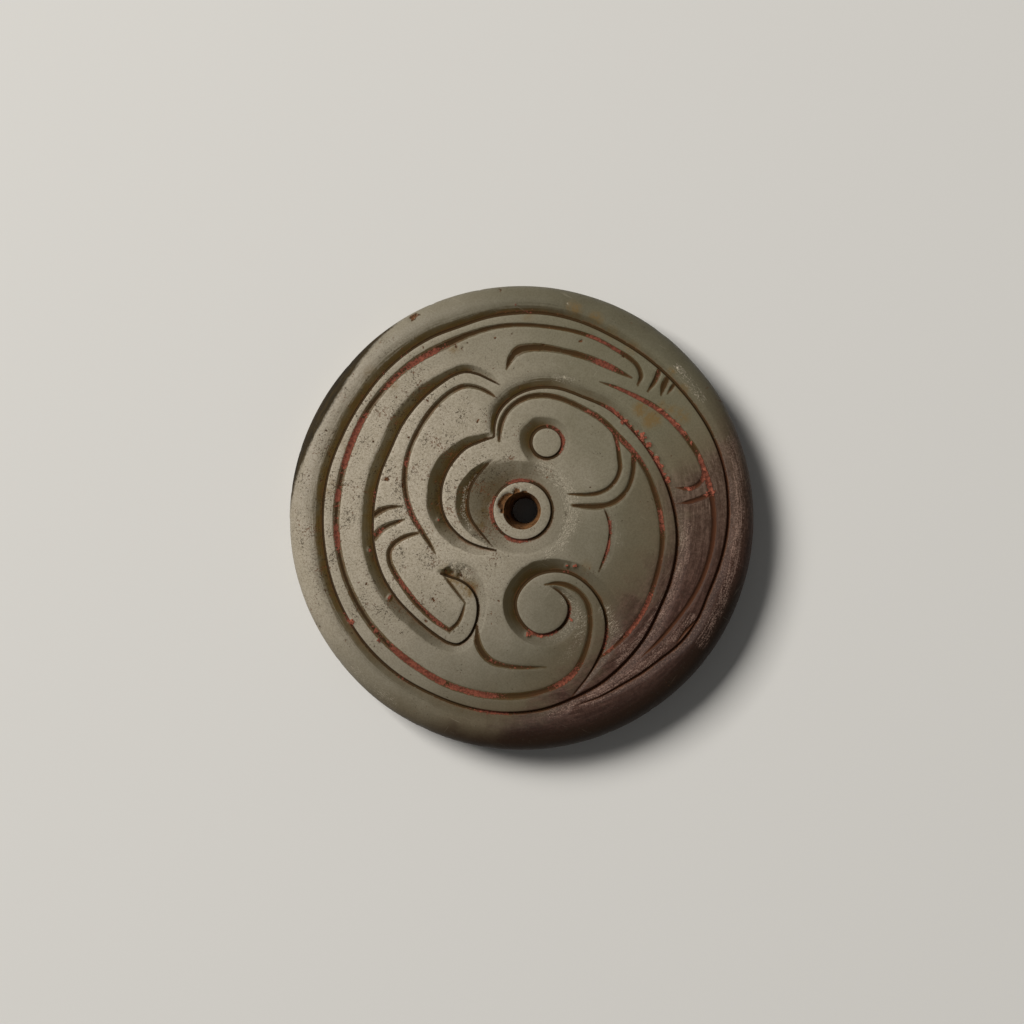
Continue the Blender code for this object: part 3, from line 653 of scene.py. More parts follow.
def pigment(points, relief):
    """How much red pigment is left at each point, from 0 to 1, and where it stands out as a lump."""
    amount = np.zeros(len(points))
    for x0, y0, x1, y1, strength in CINNABAR:
        away, from_end = capsule(points, x0, y0, x1, y1)
        near = (1.0 - ease(0.35, 0.95, away)) * (0.45 + 0.55 * ease(0.0, 0.9, from_end))
        amount = np.maximum(amount, near * strength / 100.0)
    amount = amount * np.maximum(ease(0.08, 0.55, relief.line), ease(0.12, 0.70, relief.near))
    lump = np.zeros(len(points))
    for number, (x, y, size) in enumerate(RED_LUMPS):
        away = np.linalg.norm(points - np.array([x, y]) * STEP, axis=1) / (size * STEP)
        close = np.nonzero(away < 2.0)[0]
        rough = soft_noise(points[close] + number * 1.7, size * STEP * 0.6, 500 + number)
        ragged = away[close] + 0.62 * rough
        lump[close] = np.maximum(lump[close], 1.0 - ease(0.45, 1.15, ragged))
    return np.maximum(amount, lump), lump


def ragged_patch(points, x, y, size, number, raggedness=0.42):
    """The points near one chip, and how far inside its ragged outline each lies, from 0 to 1."""
    size = size * STEP
    rel = points - np.array([x, y]) * STEP
    close = np.nonzero(np.linalg.norm(rel, axis=1) < size * 2.5)[0]
    angle = number * 1.7
    cosine, sine = math.cos(angle), math.sin(angle)
    turned = rel[close] @ np.array([[cosine, -sine], [sine, cosine]])
    turned[:, 1] *= 1.45
    rough = soft_noise(points[close] + number * 3.1, size * 0.55, 300 + number)
    away = np.linalg.norm(turned, axis=1) / size + raggedness * rough
    return close, 1.0 - ease(0.55, 1.05, away)


def chips(points):
    """Depth of the placed chips in millimetres, how pale or dark each is, and the mouth's broken brown."""
    depth = np.zeros(len(points))
    tone = np.zeros(len(points))
    for number, (x, y, size, deep, pale) in enumerate(CHIPS):
        close, inside = ragged_patch(points, x, y, size, number)
        depth[close] = np.maximum(depth[close], inside * deep / 100.0)
        stronger = inside * abs(pale) / 100.0 > np.abs(tone[close])
        tone[close[stronger]] = (inside * pale / 100.0)[stronger]
    broken = np.zeros(len(points))
    for number, (x, y, size, deep) in enumerate(MOUTH_CHIPS):
        close, inside = ragged_patch(points, x, y, size, 80 + number, 0.24)
        depth[close] = np.maximum(depth[close], inside * deep / 100.0)
        broken[close] = np.maximum(broken[close], inside)
    return depth, tone, broken


def stains(points):
    """How strongly each point is stained yellow-brown, from 0 to 1."""
    amount = np.zeros(len(points))
    for x, y, size, strength in STAINS:
        away = np.linalg.norm(points - np.array([x, y]) * STEP, axis=1) / (size * STEP)
        amount = np.maximum(amount, (1.0 - ease(0.3, 1.5, away)) * strength / 100.0)
    return amount


def worn_flecks(points):
    """How strongly each point is covered with pale flecks where the stone is worn, from 0 to 1."""
    amount = np.zeros(len(points))
    for x0, y0, x1, y1, width, strength in FLECKED:
        away, _ = capsule(points, x0, y0, x1, y1)
        amount = np.maximum(amount, (1.0 - ease(0.2, 1.2, away / (width * STEP))) * strength / 100.0)
    return amount


def altered_distance(points):
    """Millimetres past the edge of the altered stone, less than 0 on the pale side."""
    line = smooth_line([(x, y, 0) for x, y in ALTERED_EDGE], 0.8)
    distance, side, _ = nearest_on_line(points, line)
    return distance * side


def edge_flat_width(angles):
    """Width in millimetres of the worn flat on the edge at each turn."""
    turns, widths = np.array(EDGE_FLAT, dtype=float).T
    return np.interp(np.mod(np.degrees(angles), 360.0), turns, widths, 0.0, 0.0) * STEP


def face_form(points, shape):
    """Height in millimetres of the uncarved face over the underside."""
    radius = shape.width * MM / 2.0
    distance = np.minimum(np.linalg.norm(points, axis=1), radius)
    angles = np.arctan2(points[:, 1], points[:, 0])
    height = shape.thickness * MM - FACE_CROWN * (distance / radius) ** 2
    inward = shape.rim_round * MM
    over = np.clip((distance - radius + inward) / inward, 0.0, 1.0)
    height = height - shape.rim_drop * MM * (1.0 - np.sqrt(np.maximum(0.0, 1.0 - over ** 2.0)))
    width = edge_flat_width(angles)
    past = np.clip((distance - radius + width) / np.maximum(width, 1e-6), 0.0, 1.0) * (width > 0.01)
    return height - FLAT_STEEPNESS * width * past ** FLAT_BEND


def circle(middle, radius, count, start=0.0):
    """Even points round a circle."""
    angles = start + np.arange(count) * 2.0 * np.pi / count
    return np.array(middle) + radius * np.stack([np.cos(angles), np.sin(angles)], axis=1)


def moved_aside(line, distance):
    """The points of a line moved to its left by the distance."""
    way = np.gradient(line[:, :2], axis=0)
    way /= np.maximum(np.linalg.norm(way, axis=1), 1e-9)[:, None]
    return line[:, :2] + np.stack([-way[:, 1], way[:, 0]], axis=1) * distance


def guide_rows(shape):
    """Rows of points along every cut, close together where the relief turns sharply."""
    rows = []
    wall = shape.wall_run * MM
    for number, (knots, side, _, _) in enumerate(SLANTED):
        line = smooth_line(knots, LAID_SPACING)
        for share in (-1.55, -1.1, -0.8, -0.45, 0.0, 0.35, 0.9):
            rows.append(moved_aside(line, side * share * wall))
        run = np.arange(len(line)) * np.linalg.norm(line[1, :2] - line[0, :2])
        width = uneven_width(line[:, 2], run, SLANTED_SEED + number)
        for share in (0.90, 1.0, 1.09):
            rows.append(line[:, :2] + (moved_aside(line, side) - line[:, :2]) * (width * share)[:, None])
    for knots in LINES:
        line = smooth_line(knots, LAID_SPACING)
        half = line[:, 2:3] / 2.0
        for share in (-1.4, -1.0, -0.72, -0.38, 0.0, 0.38, 0.72, 1.0, 1.4):
            rows.append(line[:, :2] + (moved_aside(line, 1.0) - line[:, :2]) * half * share)
    ring = (shape.hole_mouth / 2.0 + shape.ring_width) * MM
    eye = shape.eye_width * MM / 2.0
    for middle, inner, count in ((RING_MIDDLE, ring, HOLE_POINTS), (EYE_MIDDLE, eye, 64)):
        for share in (-1.7, -1.15, -0.8, -0.4, 0.0, 0.5, 1.2):
            rows.append(closed_row(np.array(middle) * STEP, inner + share * wall * 0.82, count))
    return rows


def unique_cells(points, cell):
    """Numbers the points so that those in one small cell share a number, and gives the first of each."""
    column, row = np.floor(points / cell).astype(np.int64).T
    key = column * 1000003 + row
    _, first, number = np.unique(key, return_index=True, return_inverse=True)
    return first, number.ravel()


def plain_fill(shape, placed, hole, mouth):
    """An even field of points on the plain parts of the face, away from the placed ones."""
    radius = shape.width * MM / 2.0
    grain = shape.grain * MM
    reach = int(radius / grain) + 2
    column, row = np.meshgrid(np.arange(-reach, reach + 1), np.arange(-reach, reach + 1))
    across = (column + 0.5 * (row % 2)).ravel() * grain
    fill = np.stack([across, row.ravel() * grain * math.sqrt(0.75)], axis=1)
    fill = fill + 0.12 * grain * np.stack([soft_noise(fill, grain, 5), soft_noise(fill, grain, 6)], axis=1)
    fill = fill[np.linalg.norm(fill, axis=1) < radius - shape.rim_round * MM - 0.05]
    fill = fill[np.linalg.norm(fill - hole, axis=1) > mouth + 0.2]
    cell = 0.085
    cells = 1024
    taken = np.zeros((cells, cells), dtype=bool)
    at = np.floor(placed / cell).astype(int) + cells // 2
    for dx in (-1, 0, 1):
        for dy in (-1, 0, 1):
            taken[at[:, 0] + dx, at[:, 1] + dy] = True
    at = np.floor(fill / cell).astype(int) + cells // 2
    return fill[~taken[at[:, 0], at[:, 1]]]


def triangulated(points, edges, hole, mouth):
    """Triangles between the points that keep to the edges and leave the hole out."""
    found = delaunay_2d_cdt(points.tolist(), edges, [], 0, 1e-4)
    plan = np.array([tuple(point) for point in found[0]])
    for at, sources in enumerate(found[3]):
        if sources:
            plan[at] = points[sources[0]]
    outside = np.linalg.norm(plan - hole, axis=1) > mouth + 0.001
    return plan, [list(face) for face in found[2] if outside[list(face)].any()]


def closed_row(middle, radius, count, start=0.0):
    """A circle whose last point is its first again."""
    loop = circle(middle, radius, count, start)
    return np.vstack([loop, loop[:1]])


def plan_of_face(shape):
    """Flat triangulated plan of the face, finer along the cuts, with the hole left out."""
    radius = shape.width * MM / 2.0
    mouth = shape.hole_mouth * MM / 2.0
    hole = np.array(RING_MIDDLE) * STEP
    fixed = [circle((0.0, 0.0), radius, EDGE_POINTS), circle(hole, mouth, HOLE_POINTS)]
    rows = guide_rows(shape)
    for turn in np.radians(np.linspace(0.0, 84.0, 13)):
        ring_radius = radius - shape.rim_round * MM * (1.0 - math.sin(turn))
        rows.append(closed_row((0.0, 0.0), ring_radius, EDGE_POINTS, (len(rows) % 2) * math.pi / EDGE_POINTS))
    for more in (0.05, 0.13):
        rows.append(closed_row(hole, mouth + more, HOLE_POINTS))

    placed = np.vstack(rows)
    row_of = np.concatenate([np.full(len(row), number) for number, row in enumerate(rows)])
    clear = np.linalg.norm(placed, axis=1) < radius - 0.03
    clear &= np.linalg.norm(placed - hole, axis=1) > mouth + 0.03
    placed, row_of = placed[clear], row_of[clear]
    fill = plain_fill(shape, placed, hole, mouth)

    first, number = unique_cells(placed, 0.036)
    joined = (row_of[1:] == row_of[:-1]) & (number[1:] != number[:-1])
    joined &= np.linalg.norm(placed[1:] - placed[:-1], axis=1) < 0.5
    links = np.stack([number[:-1][joined], number[1:][joined]], axis=1)
    points = np.vstack(fixed + [placed[first], fill])
    edges = (links + EDGE_POINTS + HOLE_POINTS).tolist()
    for start, count in ((0, EDGE_POINTS), (EDGE_POINTS, HOLE_POINTS)):
        edges += [[start + at, start + (at + 1) % count] for at in range(count)]
    return triangulated(points, edges, hole, mouth)


class Shell:
    """Points, faces and per-point values of the closed disc, in millimetres."""

    def __init__(self):
        self.points = []
        self.faces = []
        self.values = []
        self.count = 0

    def add(self, points, faces, values, turned=False):
        """Adds a sheet; a value that it doesn't name is 0 on it."""
        faces = np.array(faces) + self.count
        self.points.append(points)
        self.faces.append(faces[:, ::-1] if turned else faces)
        self.values.append({name: np.broadcast_to(values.get(name, 0.0), len(points)) for name in VALUES})
        self.count += len(points)

    def add_rings(self, rings, values):
        """Joins equal rings one after the other; the first is the top of an outward wall."""
        steps = len(rings[0])
        at = np.arange(steps)
        after = (at + 1) % steps
        faces = []
        for level in range(len(rings) - 1):
            high = level * steps
            low = high + steps
            faces.append(np.stack([high + at, low + at, low + after], axis=1))
            faces.append(np.stack([high + at, low + after, high + after], axis=1))
        self.add(np.vstack(rings), np.vstack(faces), values)


def lifted(points, heights):
    """Flat points set at their heights."""
    return np.column_stack([points, np.broadcast_to(heights, len(points))])


def add_face(shell, shape):
    """Adds the carved face, with what the carving and the finish need to know of it."""
    plan, faces = plan_of_face(shape)
    relief = Relief(plan, shape).all_cuts()
    chip, tone, broken = chips(plan)
    red, lump = pigment(plan, relief)
    cut = relief.depth - LUMP_HEIGHT * lump - PIGMENT_FILL * ease(0.3, 0.9, red)
    fading = {
        "cut_depth": cut, "chip_depth": chip, "slope": relief.slope, "line": relief.line, "foot": relief.foot,
        "red": red, "lump": lump, "near": relief.near, "coat": relief.coat, "flecked": worn_flecks(plan),
        "stain": stains(plan), "tone": tone}
    radius = shape.width * MM / 2.0
    keep = 1.0 - ease(radius - 0.35, radius - 0.02, np.linalg.norm(plan, axis=1))
    values = {name: value * keep for name, value in fading.items()}
    values.update({"along": relief.along, "across": relief.across, "altered": altered_distance(plan),
                   "hole": broken, "face": keep})
    shell.add(lifted(plan, face_form(plan, shape)), faces, values)


def add_back(shell, shape):
    """Adds the plain underside: its edge, a shallow ring groove and the hole's lower mouth."""
    radius = shape.width * MM / 2.0 - shape.back_round * MM
    hole = np.array(RING_MIDDLE) * STEP
    mouth = shape.hole_mouth * MM / 2.0 * BACK_MOUTH_SHARE
    groove = radius - GROOVE_INSET
    loops = [circle((0.0, 0.0), radius, EDGE_POINTS), circle(hole, mouth, HOLE_POINTS)]
    for share in (1, 0.7, 0.35, 0, -0.35, -0.7, -1):
        loops.append(circle((0.0, 0.0), groove + share * GROOVE_HALF, EDGE_POINTS // 2))
    loops.append(circle((0.0, 0.0), radius - 0.25, EDGE_POINTS))
    loops.append(circle(hole, mouth + 0.3, HOLE_POINTS // 2))
    fill = [circle((0.0, 0.0), ring, max(24, int(ring * 5.0))) for ring in np.arange(2.9, groove - 1.2, 1.2)]
    edges = []
    start = 0
    for loop in loops:
        edges += [[start + at, start + (at + 1) % len(loop)] for at in range(len(loop))]
        start += len(loop)
    plan, faces = triangulated(np.vstack(loops + fill), edges, hole, mouth)
    out = np.linalg.norm(plan, axis=1)
    sunk = GROOVE_DEPTH * (1.0 - ease(0.0, 1.0, np.abs(out - groove) / GROOVE_HALF))
    sunk[out > radius - 1e-4] = 0.0
    shell.add(lifted(plan, sunk), faces, {"altered": altered_distance(plan)}, turned=True)


def add_wall(shell, shape):
    """Adds the outer wall, rounded under at the underside."""
    radius = shape.width * MM / 2.0
    rounding = shape.back_round * MM
    edge = circle((0.0, 0.0), radius, EDGE_POINTS)
    edge_height = face_form(edge, shape)
    rings = [lifted(edge, edge_height)]
    for share in np.linspace(0.0, 1.0, 8)[1:]:
        rings.append(lifted(edge, edge_height + (rounding - edge_height) * share))
    for turn in np.radians((18.0, 36.0, 54.0, 72.0, 90.0)):
        loop = circle((0.0, 0.0), radius - rounding * (1.0 - math.cos(turn)), EDGE_POINTS)
        rings.append(lifted(loop, rounding * (1.0 - math.sin(turn))))
    shell.add_rings(rings, {"altered": np.tile(altered_distance(edge), len(rings))})


def add_bore(shell, shape):
    """Adds the cord hole, which narrows from both mouths to a waist that lies a little aside."""
    hole = np.array(RING_MIDDLE) * STEP
    mouth = shape.hole_mouth * MM / 2.0
    waist = shape.hole_waist * MM / 2.0
    back_mouth = mouth * BACK_MOUTH_SHARE
    rim = circle(hole, mouth, HOLE_POINTS)
    top = face_form(rim, shape)
    waist_height = shape.thickness * MM * WAIST_HEIGHT_SHARE
    rings = [lifted(circle(hole, back_mouth, HOLE_POINTS), 0.0)]
    for share in np.linspace(0.0, 1.0, 10)[1:]:
        size = back_mouth + (waist - back_mouth) * share ** 0.8
        loop = circle(hole + (WAIST_SHIFT * share, 0.0), size, HOLE_POINTS)
        rings.append(lifted(loop, waist_height * share))
    for share in np.linspace(0.0, 1.0, 16)[1:]:
        size = waist + (mouth - waist) * share ** 1.25
        loop = circle(hole + (WAIST_SHIFT * (1.0 - share), 0.0), size, HOLE_POINTS)
        if share < 1.0:
            place = np.column_stack([np.arange(HOLE_POINTS) * 0.2, np.full(HOLE_POINTS, share * 9.0)])
            loop = loop * (1.0 + 0.012 * soft_noise(place, 1.0, 9)[:, None] * (1.0 - share))
        rings.append(lifted(loop, waist_height + (top - waist_height) * share))
    rim_chip, _, rim_broken = chips(rim)
    deeper = np.zeros(len(rings) * HOLE_POINTS)
    deeper[-HOLE_POINTS:] = rim_chip
    # The hole value runs from 2 at the lower mouth to 1 at the top; the finish paints shade on the bore wall
    # where it is over 1.25.
    bore_wall_and_shade = np.repeat(np.linspace(2.0, 1.0, len(rings)), HOLE_POINTS)
    bore_wall_and_shade[-HOLE_POINTS:] = rim_broken
    shell.add_rings(rings, {"hole": bore_wall_and_shade, "chip_depth": deeper})


def disc_mesh(shape):
    """The plain closed disc, with what the carving does stored on its points."""
    shell = Shell()
    for add in (add_face, add_back, add_wall, add_bore):
        add(shell, shape)
    return shell


def weld(shell):
    """Merges the points that the sheets of the shell share, down to a 20000th of a millimetre."""
    points = np.vstack(shell.points)
    faces = np.vstack(shell.faces)
    values = {name: np.concatenate([part[name] for part in shell.values]) for name in VALUES}
    key = np.round(points * 20000.0).astype(np.int64)
    _, first, number = np.unique(key, axis=0, return_index=True, return_inverse=True)
    number = number.ravel()
    faces = number[faces]
    whole = (faces[:, 0] != faces[:, 1]) & (faces[:, 1] != faces[:, 2]) & (faces[:, 2] != faces[:, 0])
    return points[first], faces[whole], {name: value[first] for name, value in values.items()}


def edge_wear(points, shape):
    """Small dents and chips of the disc's outer edge, in millimetres inwards."""
    radius = shape.width * MM / 2.0
    angle = np.arctan2(points[:, 1], points[:, 0])
    out = np.linalg.norm(points[:, :2], axis=1)
    close = ease(radius - 1.6, radius - 0.2, out)
    place = np.column_stack([angle * radius, points[:, 2] * 0.7])
    broad = soft_noise(place, 4.3, 401) * 0.035
    fine = ease(0.55, 1.0, soft_noise(place, 0.7, 402)) * 0.05
    return close * (broad + fine)


def node(tree, kind, inputs=None, **settings):
    """Adds a node, sets its properties, and fills or links its inputs by name or number."""
    made = tree.nodes.new(kind)
    for name, value in settings.items():
        setattr(made, name, value)
    for name, value in (inputs or {}).items():
        socket = made.inputs[name]
        if isinstance(value, bpy.types.NodeSocket):
            tree.links.new(value, socket)
        else:
            socket.default_value = value
    return made


def math_node(tree, operation, first, second=0.0, third=None, clamp=False):
    """One sum of two or three values."""
    inputs = {0: first, 1: second}
    if third is not None:
        inputs[2] = third
    return node(tree, "ShaderNodeMath", inputs, operation=operation, use_clamp=clamp).outputs[0]


def mix_colour(tree, share, low, high, blend="MIX"):
    """From the low colour to the high one by the share."""
    made = node(tree, "ShaderNodeMix", {0: share, 6: low, 7: high}, data_type="RGBA", blend_type=blend)
    return made.outputs[2]


def between(tree, value, low, high, out_low=0.0, out_high=1.0):
    """Maps a value smoothly from one range to another."""
    made = node(tree, "ShaderNodeMapRange", {0: value, 1: low, 2: high, 3: out_low, 4: out_high},
                interpolation_type="SMOOTHSTEP")
    return made.outputs[0]


def named_value(tree, name):
    """A value that is stored on the points of the disc."""
    return node(tree, "ShaderNodeAttribute", attribute_name=name).outputs["Fac"]


def face_relief_tree(shape, material):
    """Geometry Nodes tree that lets the stored carving down into the plain disc."""
    tree = bpy.data.node_groups.new("Let carving into disc", "GeometryNodeTree")
    socket = tree.interface.new_socket
    socket("Geometry", in_out="INPUT", socket_type="NodeSocketGeometry")
    sizes = (("Carving", 1.0), ("Chips", 1.0), ("Edge wear", 1.0), ("Unevenness", shape.unevenness),
             ("Unevenness size", 0.0035))
    for name, value in sizes:
        made = socket(name, in_out="INPUT", socket_type="NodeSocketFloat")
        made.default_value = value
    made = socket("Seed", in_out="INPUT", socket_type="NodeSocketInt")
    made.default_value = shape.seed
    socket("Geometry", in_out="OUTPUT", socket_type="NodeSocketGeometry")
    given = tree.nodes.new("NodeGroupInput").outputs

    def stored(name):
        made = node(tree, "GeometryNodeInputNamedAttribute", {"Name": name}, data_type="FLOAT")
        return made.outputs["Attribute"]

    def vector_maths(operation, inputs):
        return node(tree, "ShaderNodeVectorMath", inputs, operation=operation).outputs[0]

    cut = math_node(tree, "MULTIPLY", stored("cut_depth"), given["Carving"])
    chip = math_node(tree, "MULTIPLY", stored("chip_depth"), given["Chips"])
    down = math_node(tree, "MULTIPLY", math_node(tree, "ADD", cut, chip), -1.0 / MM)
    place = node(tree, "GeometryNodeInputPosition").outputs[0]
    size = math_node(tree, "DIVIDE", 1.0, given["Unevenness size"])
    inputs = {"Vector": place, "Scale": size, "Detail": 2.0, "W": given["Seed"]}
    wander = node(tree, "ShaderNodeTexNoise", inputs, noise_dimensions="4D").outputs[0]
    wander = math_node(tree, "MULTIPLY", math_node(tree, "SUBTRACT", wander, 0.5), given["Unevenness"])
    wander = math_node(tree, "MULTIPLY", math_node(tree, "MULTIPLY", wander, 4.0), stored("face"))
    height = math_node(tree, "ADD", down, wander)
    worn = math_node(tree, "MULTIPLY", stored("edge_wear"), given["Edge wear"])
    inward = math_node(tree, "MULTIPLY", worn, -1.0 / MM)
    outward = vector_maths("NORMALIZE", {0: vector_maths("MULTIPLY", {0: place, 1: (1.0, 1.0, 0.0)})})
    inward = vector_maths("SCALE", {0: outward, "Scale": inward})
    lift = node(tree, "ShaderNodeCombineXYZ", {2: height}).outputs[0]
    shift = vector_maths("ADD", {0: inward, 1: lift})
    moved = node(tree, "GeometryNodeSetPosition", {"Geometry": given["Geometry"], "Offset": shift}).outputs[0]
    smooth = node(tree, "GeometryNodeSetShadeSmooth", {"Geometry": moved}).outputs[0]
    real = node(tree, "GeometryNodeRealizeInstances", {"Geometry": smooth}).outputs[0]
    painted = node(tree, "GeometryNodeSetMaterial", {"Geometry": real, "Material": material}).outputs[0]
    node(tree, "NodeGroupOutput", {0: painted})
    return tree


def settled(piece, tree, values):
    """Runs a Geometry Nodes tree on a piece with the given inputs and keeps the plain result."""
    modifier = piece.modifiers.new(tree.name, "NODES")
    modifier.node_group = tree
    for item in tree.interface.items_tree:
        if item.item_type == "SOCKET" and item.in_out == "INPUT" and item.name in values:
            modifier[item.identifier] = values[item.name]
    graph = bpy.context.evaluated_depsgraph_get()
    seen = piece.evaluated_get(graph)
    plain = bpy.data.meshes.new_from_object(seen, preserve_all_data_layers=True, depsgraph=graph)
    plain.name = piece.name
    piece.modifiers.remove(modifier)
    old = piece.data
    piece.data = plain
    bpy.data.meshes.remove(old)


def shader_group(name, inputs, outputs):
    """A shader node group with its named sockets; gives the group, its input sockets and its output node."""
    tree = bpy.data.node_groups.new(name, "ShaderNodeTree")
    for label, kind, value in inputs:
        made = tree.interface.new_socket(label, in_out="INPUT", socket_type=kind)
        if value is not None:
            made.default_value = value
    for label, kind in outputs:
        tree.interface.new_socket(label, in_out="OUTPUT", socket_type=kind)
    given = tree.nodes.new("NodeGroupInput").outputs
    return tree, given, tree.nodes.new("NodeGroupOutput")


def pits_group():
    """Ragged small pits gathered in loose clusters: a mask that grows with the amount."""
    tree, given, result = shader_group(
        "Scattered pits",
        (("Vector", "NodeSocketVector", None), ("Scale", "NodeSocketFloat", 3.4),
         ("Amount", "NodeSocketFloat", 0.5)),
        (("Mask", "NodeSocketFloat"),))
    inputs = {"Vector": given["Vector"], "Scale": given["Scale"], "Detail": 4.0, "Roughness": 0.62}
    speck = node(tree, "ShaderNodeTexNoise", inputs).outputs[0]
    inputs = {"Vector": given["Vector"], "Scale": 0.5, "Detail": 2.0}
    cluster = node(tree, "ShaderNodeTexNoise", inputs).outputs[0]
    level = math_node(tree, "MULTIPLY_ADD", math_node(tree, "SUBTRACT", cluster, 0.5), 0.30, speck)
    level = math_node(tree, "MULTIPLY_ADD", given["Amount"], 0.10, level)
    mask = between(tree, level, 0.705, 0.745)
    tree.links.new(mask, result.inputs["Mask"])
    return tree


def scratches_group():
    """Fine straight scratches in one direction: mask from 0 to 1."""
    tree, given, result = shader_group(
        "Fine scratches",
        (("Vector", "NodeSocketVector", None), ("Turn", "NodeSocketFloat", 0.0),
         ("Share", "NodeSocketFloat", 0.5)),
        (("Mask", "NodeSocketFloat"),))
    turn = node(tree, "ShaderNodeCombineXYZ", {2: given["Turn"]}).outputs[0]
    place = node(tree, "ShaderNodeMapping", {"Vector": given["Vector"], "Rotation": turn}).outputs[0]
    drawn_out = {0: place, 1: (0.35, 7.0, 0.35)}
    long = node(tree, "ShaderNodeVectorMath", drawn_out, operation="MULTIPLY").outputs[0]
    streak = node(tree, "ShaderNodeTexNoise", {"Vector": long, "Scale": 1.0, "Detail": 2.0}).outputs[0]
    low = math_node(tree, "SUBTRACT", 0.86, math_node(tree, "MULTIPLY", given["Share"], 0.3))
    high = math_node(tree, "ADD", low, 0.07)
    mask = node(tree, "ShaderNodeMapRange", {0: streak, 1: low, 2: high}).outputs[0]
    tree.links.new(mask, result.inputs["Mask"])
    return tree


def darker(colour, share):
    """The same colour at a share of its brightness."""
    return tuple(share * value for value in colour[:3]) + (1.0,)


def grey(brightness):
    """A plain grey of one brightness."""
    return (brightness, brightness, brightness, 1.0)


class StoneFinish:
    """The finish of the jade, coat by coat: each coat takes the colour so far and gives the new one."""

    def __init__(self, tree, colours):
        self.tree = tree
        self.colours = colours
        place = node(tree, "ShaderNodeTexCoord").outputs["Object"]
        self.place = node(tree, "ShaderNodeMapping", {"Vector": place, "Scale": (MM, MM, MM)}).outputs[0]
        self.x, self.y, self.z = node(tree, "ShaderNodeSeparateXYZ", {0: self.place}).outputs
        self.read_grain()
        self.read_sides()
        self.slope = self.stored("slope")

    def maths(self, operation, first, second=0.0, third=None, clamp=False):
        return math_node(self.tree, operation, first, second, third, clamp)

    def product(self, first, *others):
        """All the values multiplied together."""
        for other in others:
            first = self.maths("MULTIPLY", first, other)
        return first

    def higher(self, first, second):
        return self.maths("MAXIMUM", first, second)

    def scaled(self, value, by, plus=0.0):
        return self.maths("MULTIPLY_ADD", value, by, plus)

    def swayed(self, value, noise, amount):
        """The value moved up and down by noise, whose middle is 0.5."""
        return self.scaled(self.maths("SUBTRACT", noise, 0.5), amount, value)

    def step(self, value, low, high, out_low=0.0, out_high=1.0):
        return between(self.tree, value, low, high, out_low, out_high)

    def mixed(self, share, low, high):
        return mix_colour(self.tree, share, low, high)

    def tinted(self, colour, tint):
        return mix_colour(self.tree, 1.0, colour, tint, "MULTIPLY")

    def noise(self, scale, detail=3.0, roughness=0.55, at=None):
        place = self.place if at is None else at
        inputs = {"Vector": place, "Scale": scale, "Detail": detail, "Roughness": roughness}
        return node(self.tree, "ShaderNodeTexNoise", inputs).outputs[0]

    def plane(self, first, second):
        """A place for noise that is told by two values."""
        return node(self.tree, "ShaderNodeCombineXYZ", {0: first, 1: second}).outputs[0]

    def away_from(self, middle):
        inputs = {0: self.place, 1: middle}
        return node(self.tree, "ShaderNodeVectorMath", inputs, operation="DISTANCE").outputs["Value"]

    def group(self, made, **values):
        return node(self.tree, "ShaderNodeGroup", {"Vector": self.place, **values}, node_tree=made).outputs[0]

    def stored(self, name):
        return named_value(self.tree, name)

    def read_grain(self):
        """Noises that several coats share: clouds, grain, marks of the tool, and streaks round the disc."""
        self.cloud = self.noise(0.16, 4.0)
        self.patch = self.noise(0.55, 5.0, 0.6)
        self.fine = self.noise(3.2, 5.0, 0.65)
        self.grain = self.noise(5.5, 3.0, 0.7)
        self.beads = self.noise(4.2, 4.0, 0.7)
        along, across = self.stored("along"), self.stored("across")
        strokes = self.plane(self.product(along, 0.30), self.product(across, 6.5))
        self.tooling = self.noise(1.0, 3.0, at=strokes)
        square = self.maths("ADD", self.product(self.x, self.x), self.product(self.y, self.y))
        self.reach = self.maths("SQRT", square)
        self.turn = self.maths("ARCTAN2", self.y, self.x)
        arcs = self.plane(self.product(self.turn, 5.0), self.product(self.reach, 2.6))
        self.arcs = self.noise(1.0, 5.0, 0.7, arcs)
        fine_arcs = self.plane(self.product(self.turn, 11.0), self.product(self.reach, 7.0))
        self.fine_arcs = self.noise(1.0, 4.0, 0.7, fine_arcs)
        self.ragged = self.product(self.maths("SUBTRACT", self.fine, 0.5), 0.34)

    def read_sides(self):
        """Where the stone is pale (partly painted light fall-off), rough or altered, and which way each slope
        faces, for painted shade and painted highlights.
        """
        # Painted light fall-off, with the stone's own pale colour: the pale side is brightest towards the
        # upper left, where the key light comes from.
        from_pale = self.swayed(self.away_from(PALE_AND_LIT_MIDDLE), self.cloud, 8.0)
        self.pale_and_lit = self.step(from_pale, 28.0, 3.0)
        self.rough_side = self.step(from_pale, 22.0, 8.0)
        past = self.swayed(self.stored("altered"), self.cloud, 7.0)
        self.past_edge = self.swayed(past, self.patch, 4.0)
        self.altered = self.step(self.past_edge, -1.6, 2.6)
        # Painted light: slopes that face away from the key light are marked for painted shade, and those that
        # face it for painted highlights.
        normal = node(self.tree, "ShaderNodeNewGeometry").outputs["Normal"]
        inputs = {0: normal, 1: AWAY_FROM_LIGHT}
        facing = node(self.tree, "ShaderNodeVectorMath", inputs, operation="DOT_PRODUCT").outputs["Value"]
        self.painted_shade_side = self.step(facing, -0.10, 0.22)
        self.painted_highlight_side = self.step(facing, -0.08, -0.35)

    def ground(self):
        """Green stone that turns pale to the left, in cloudy patches; partly painted light fall-off, as the
        green is darker towards the bottom and the pale side lies towards the upper left, where the light
        comes from.
        """
        green = self.colours.green
        # Painted light fall-off: the green is darker towards the bottom and lighter towards the top.
        green = self.mixed(self.step(self.y, -13.0, 13.0), darker(green, 0.70), darker(green, 1.16))
        colour = self.mixed(self.pale_and_lit, green, self.colours.pale)
        return self.tinted(colour, self.mixed(self.patch, (0.88, 0.87, 0.83, 1.0), (1.11, 1.12, 1.15, 1.0)))

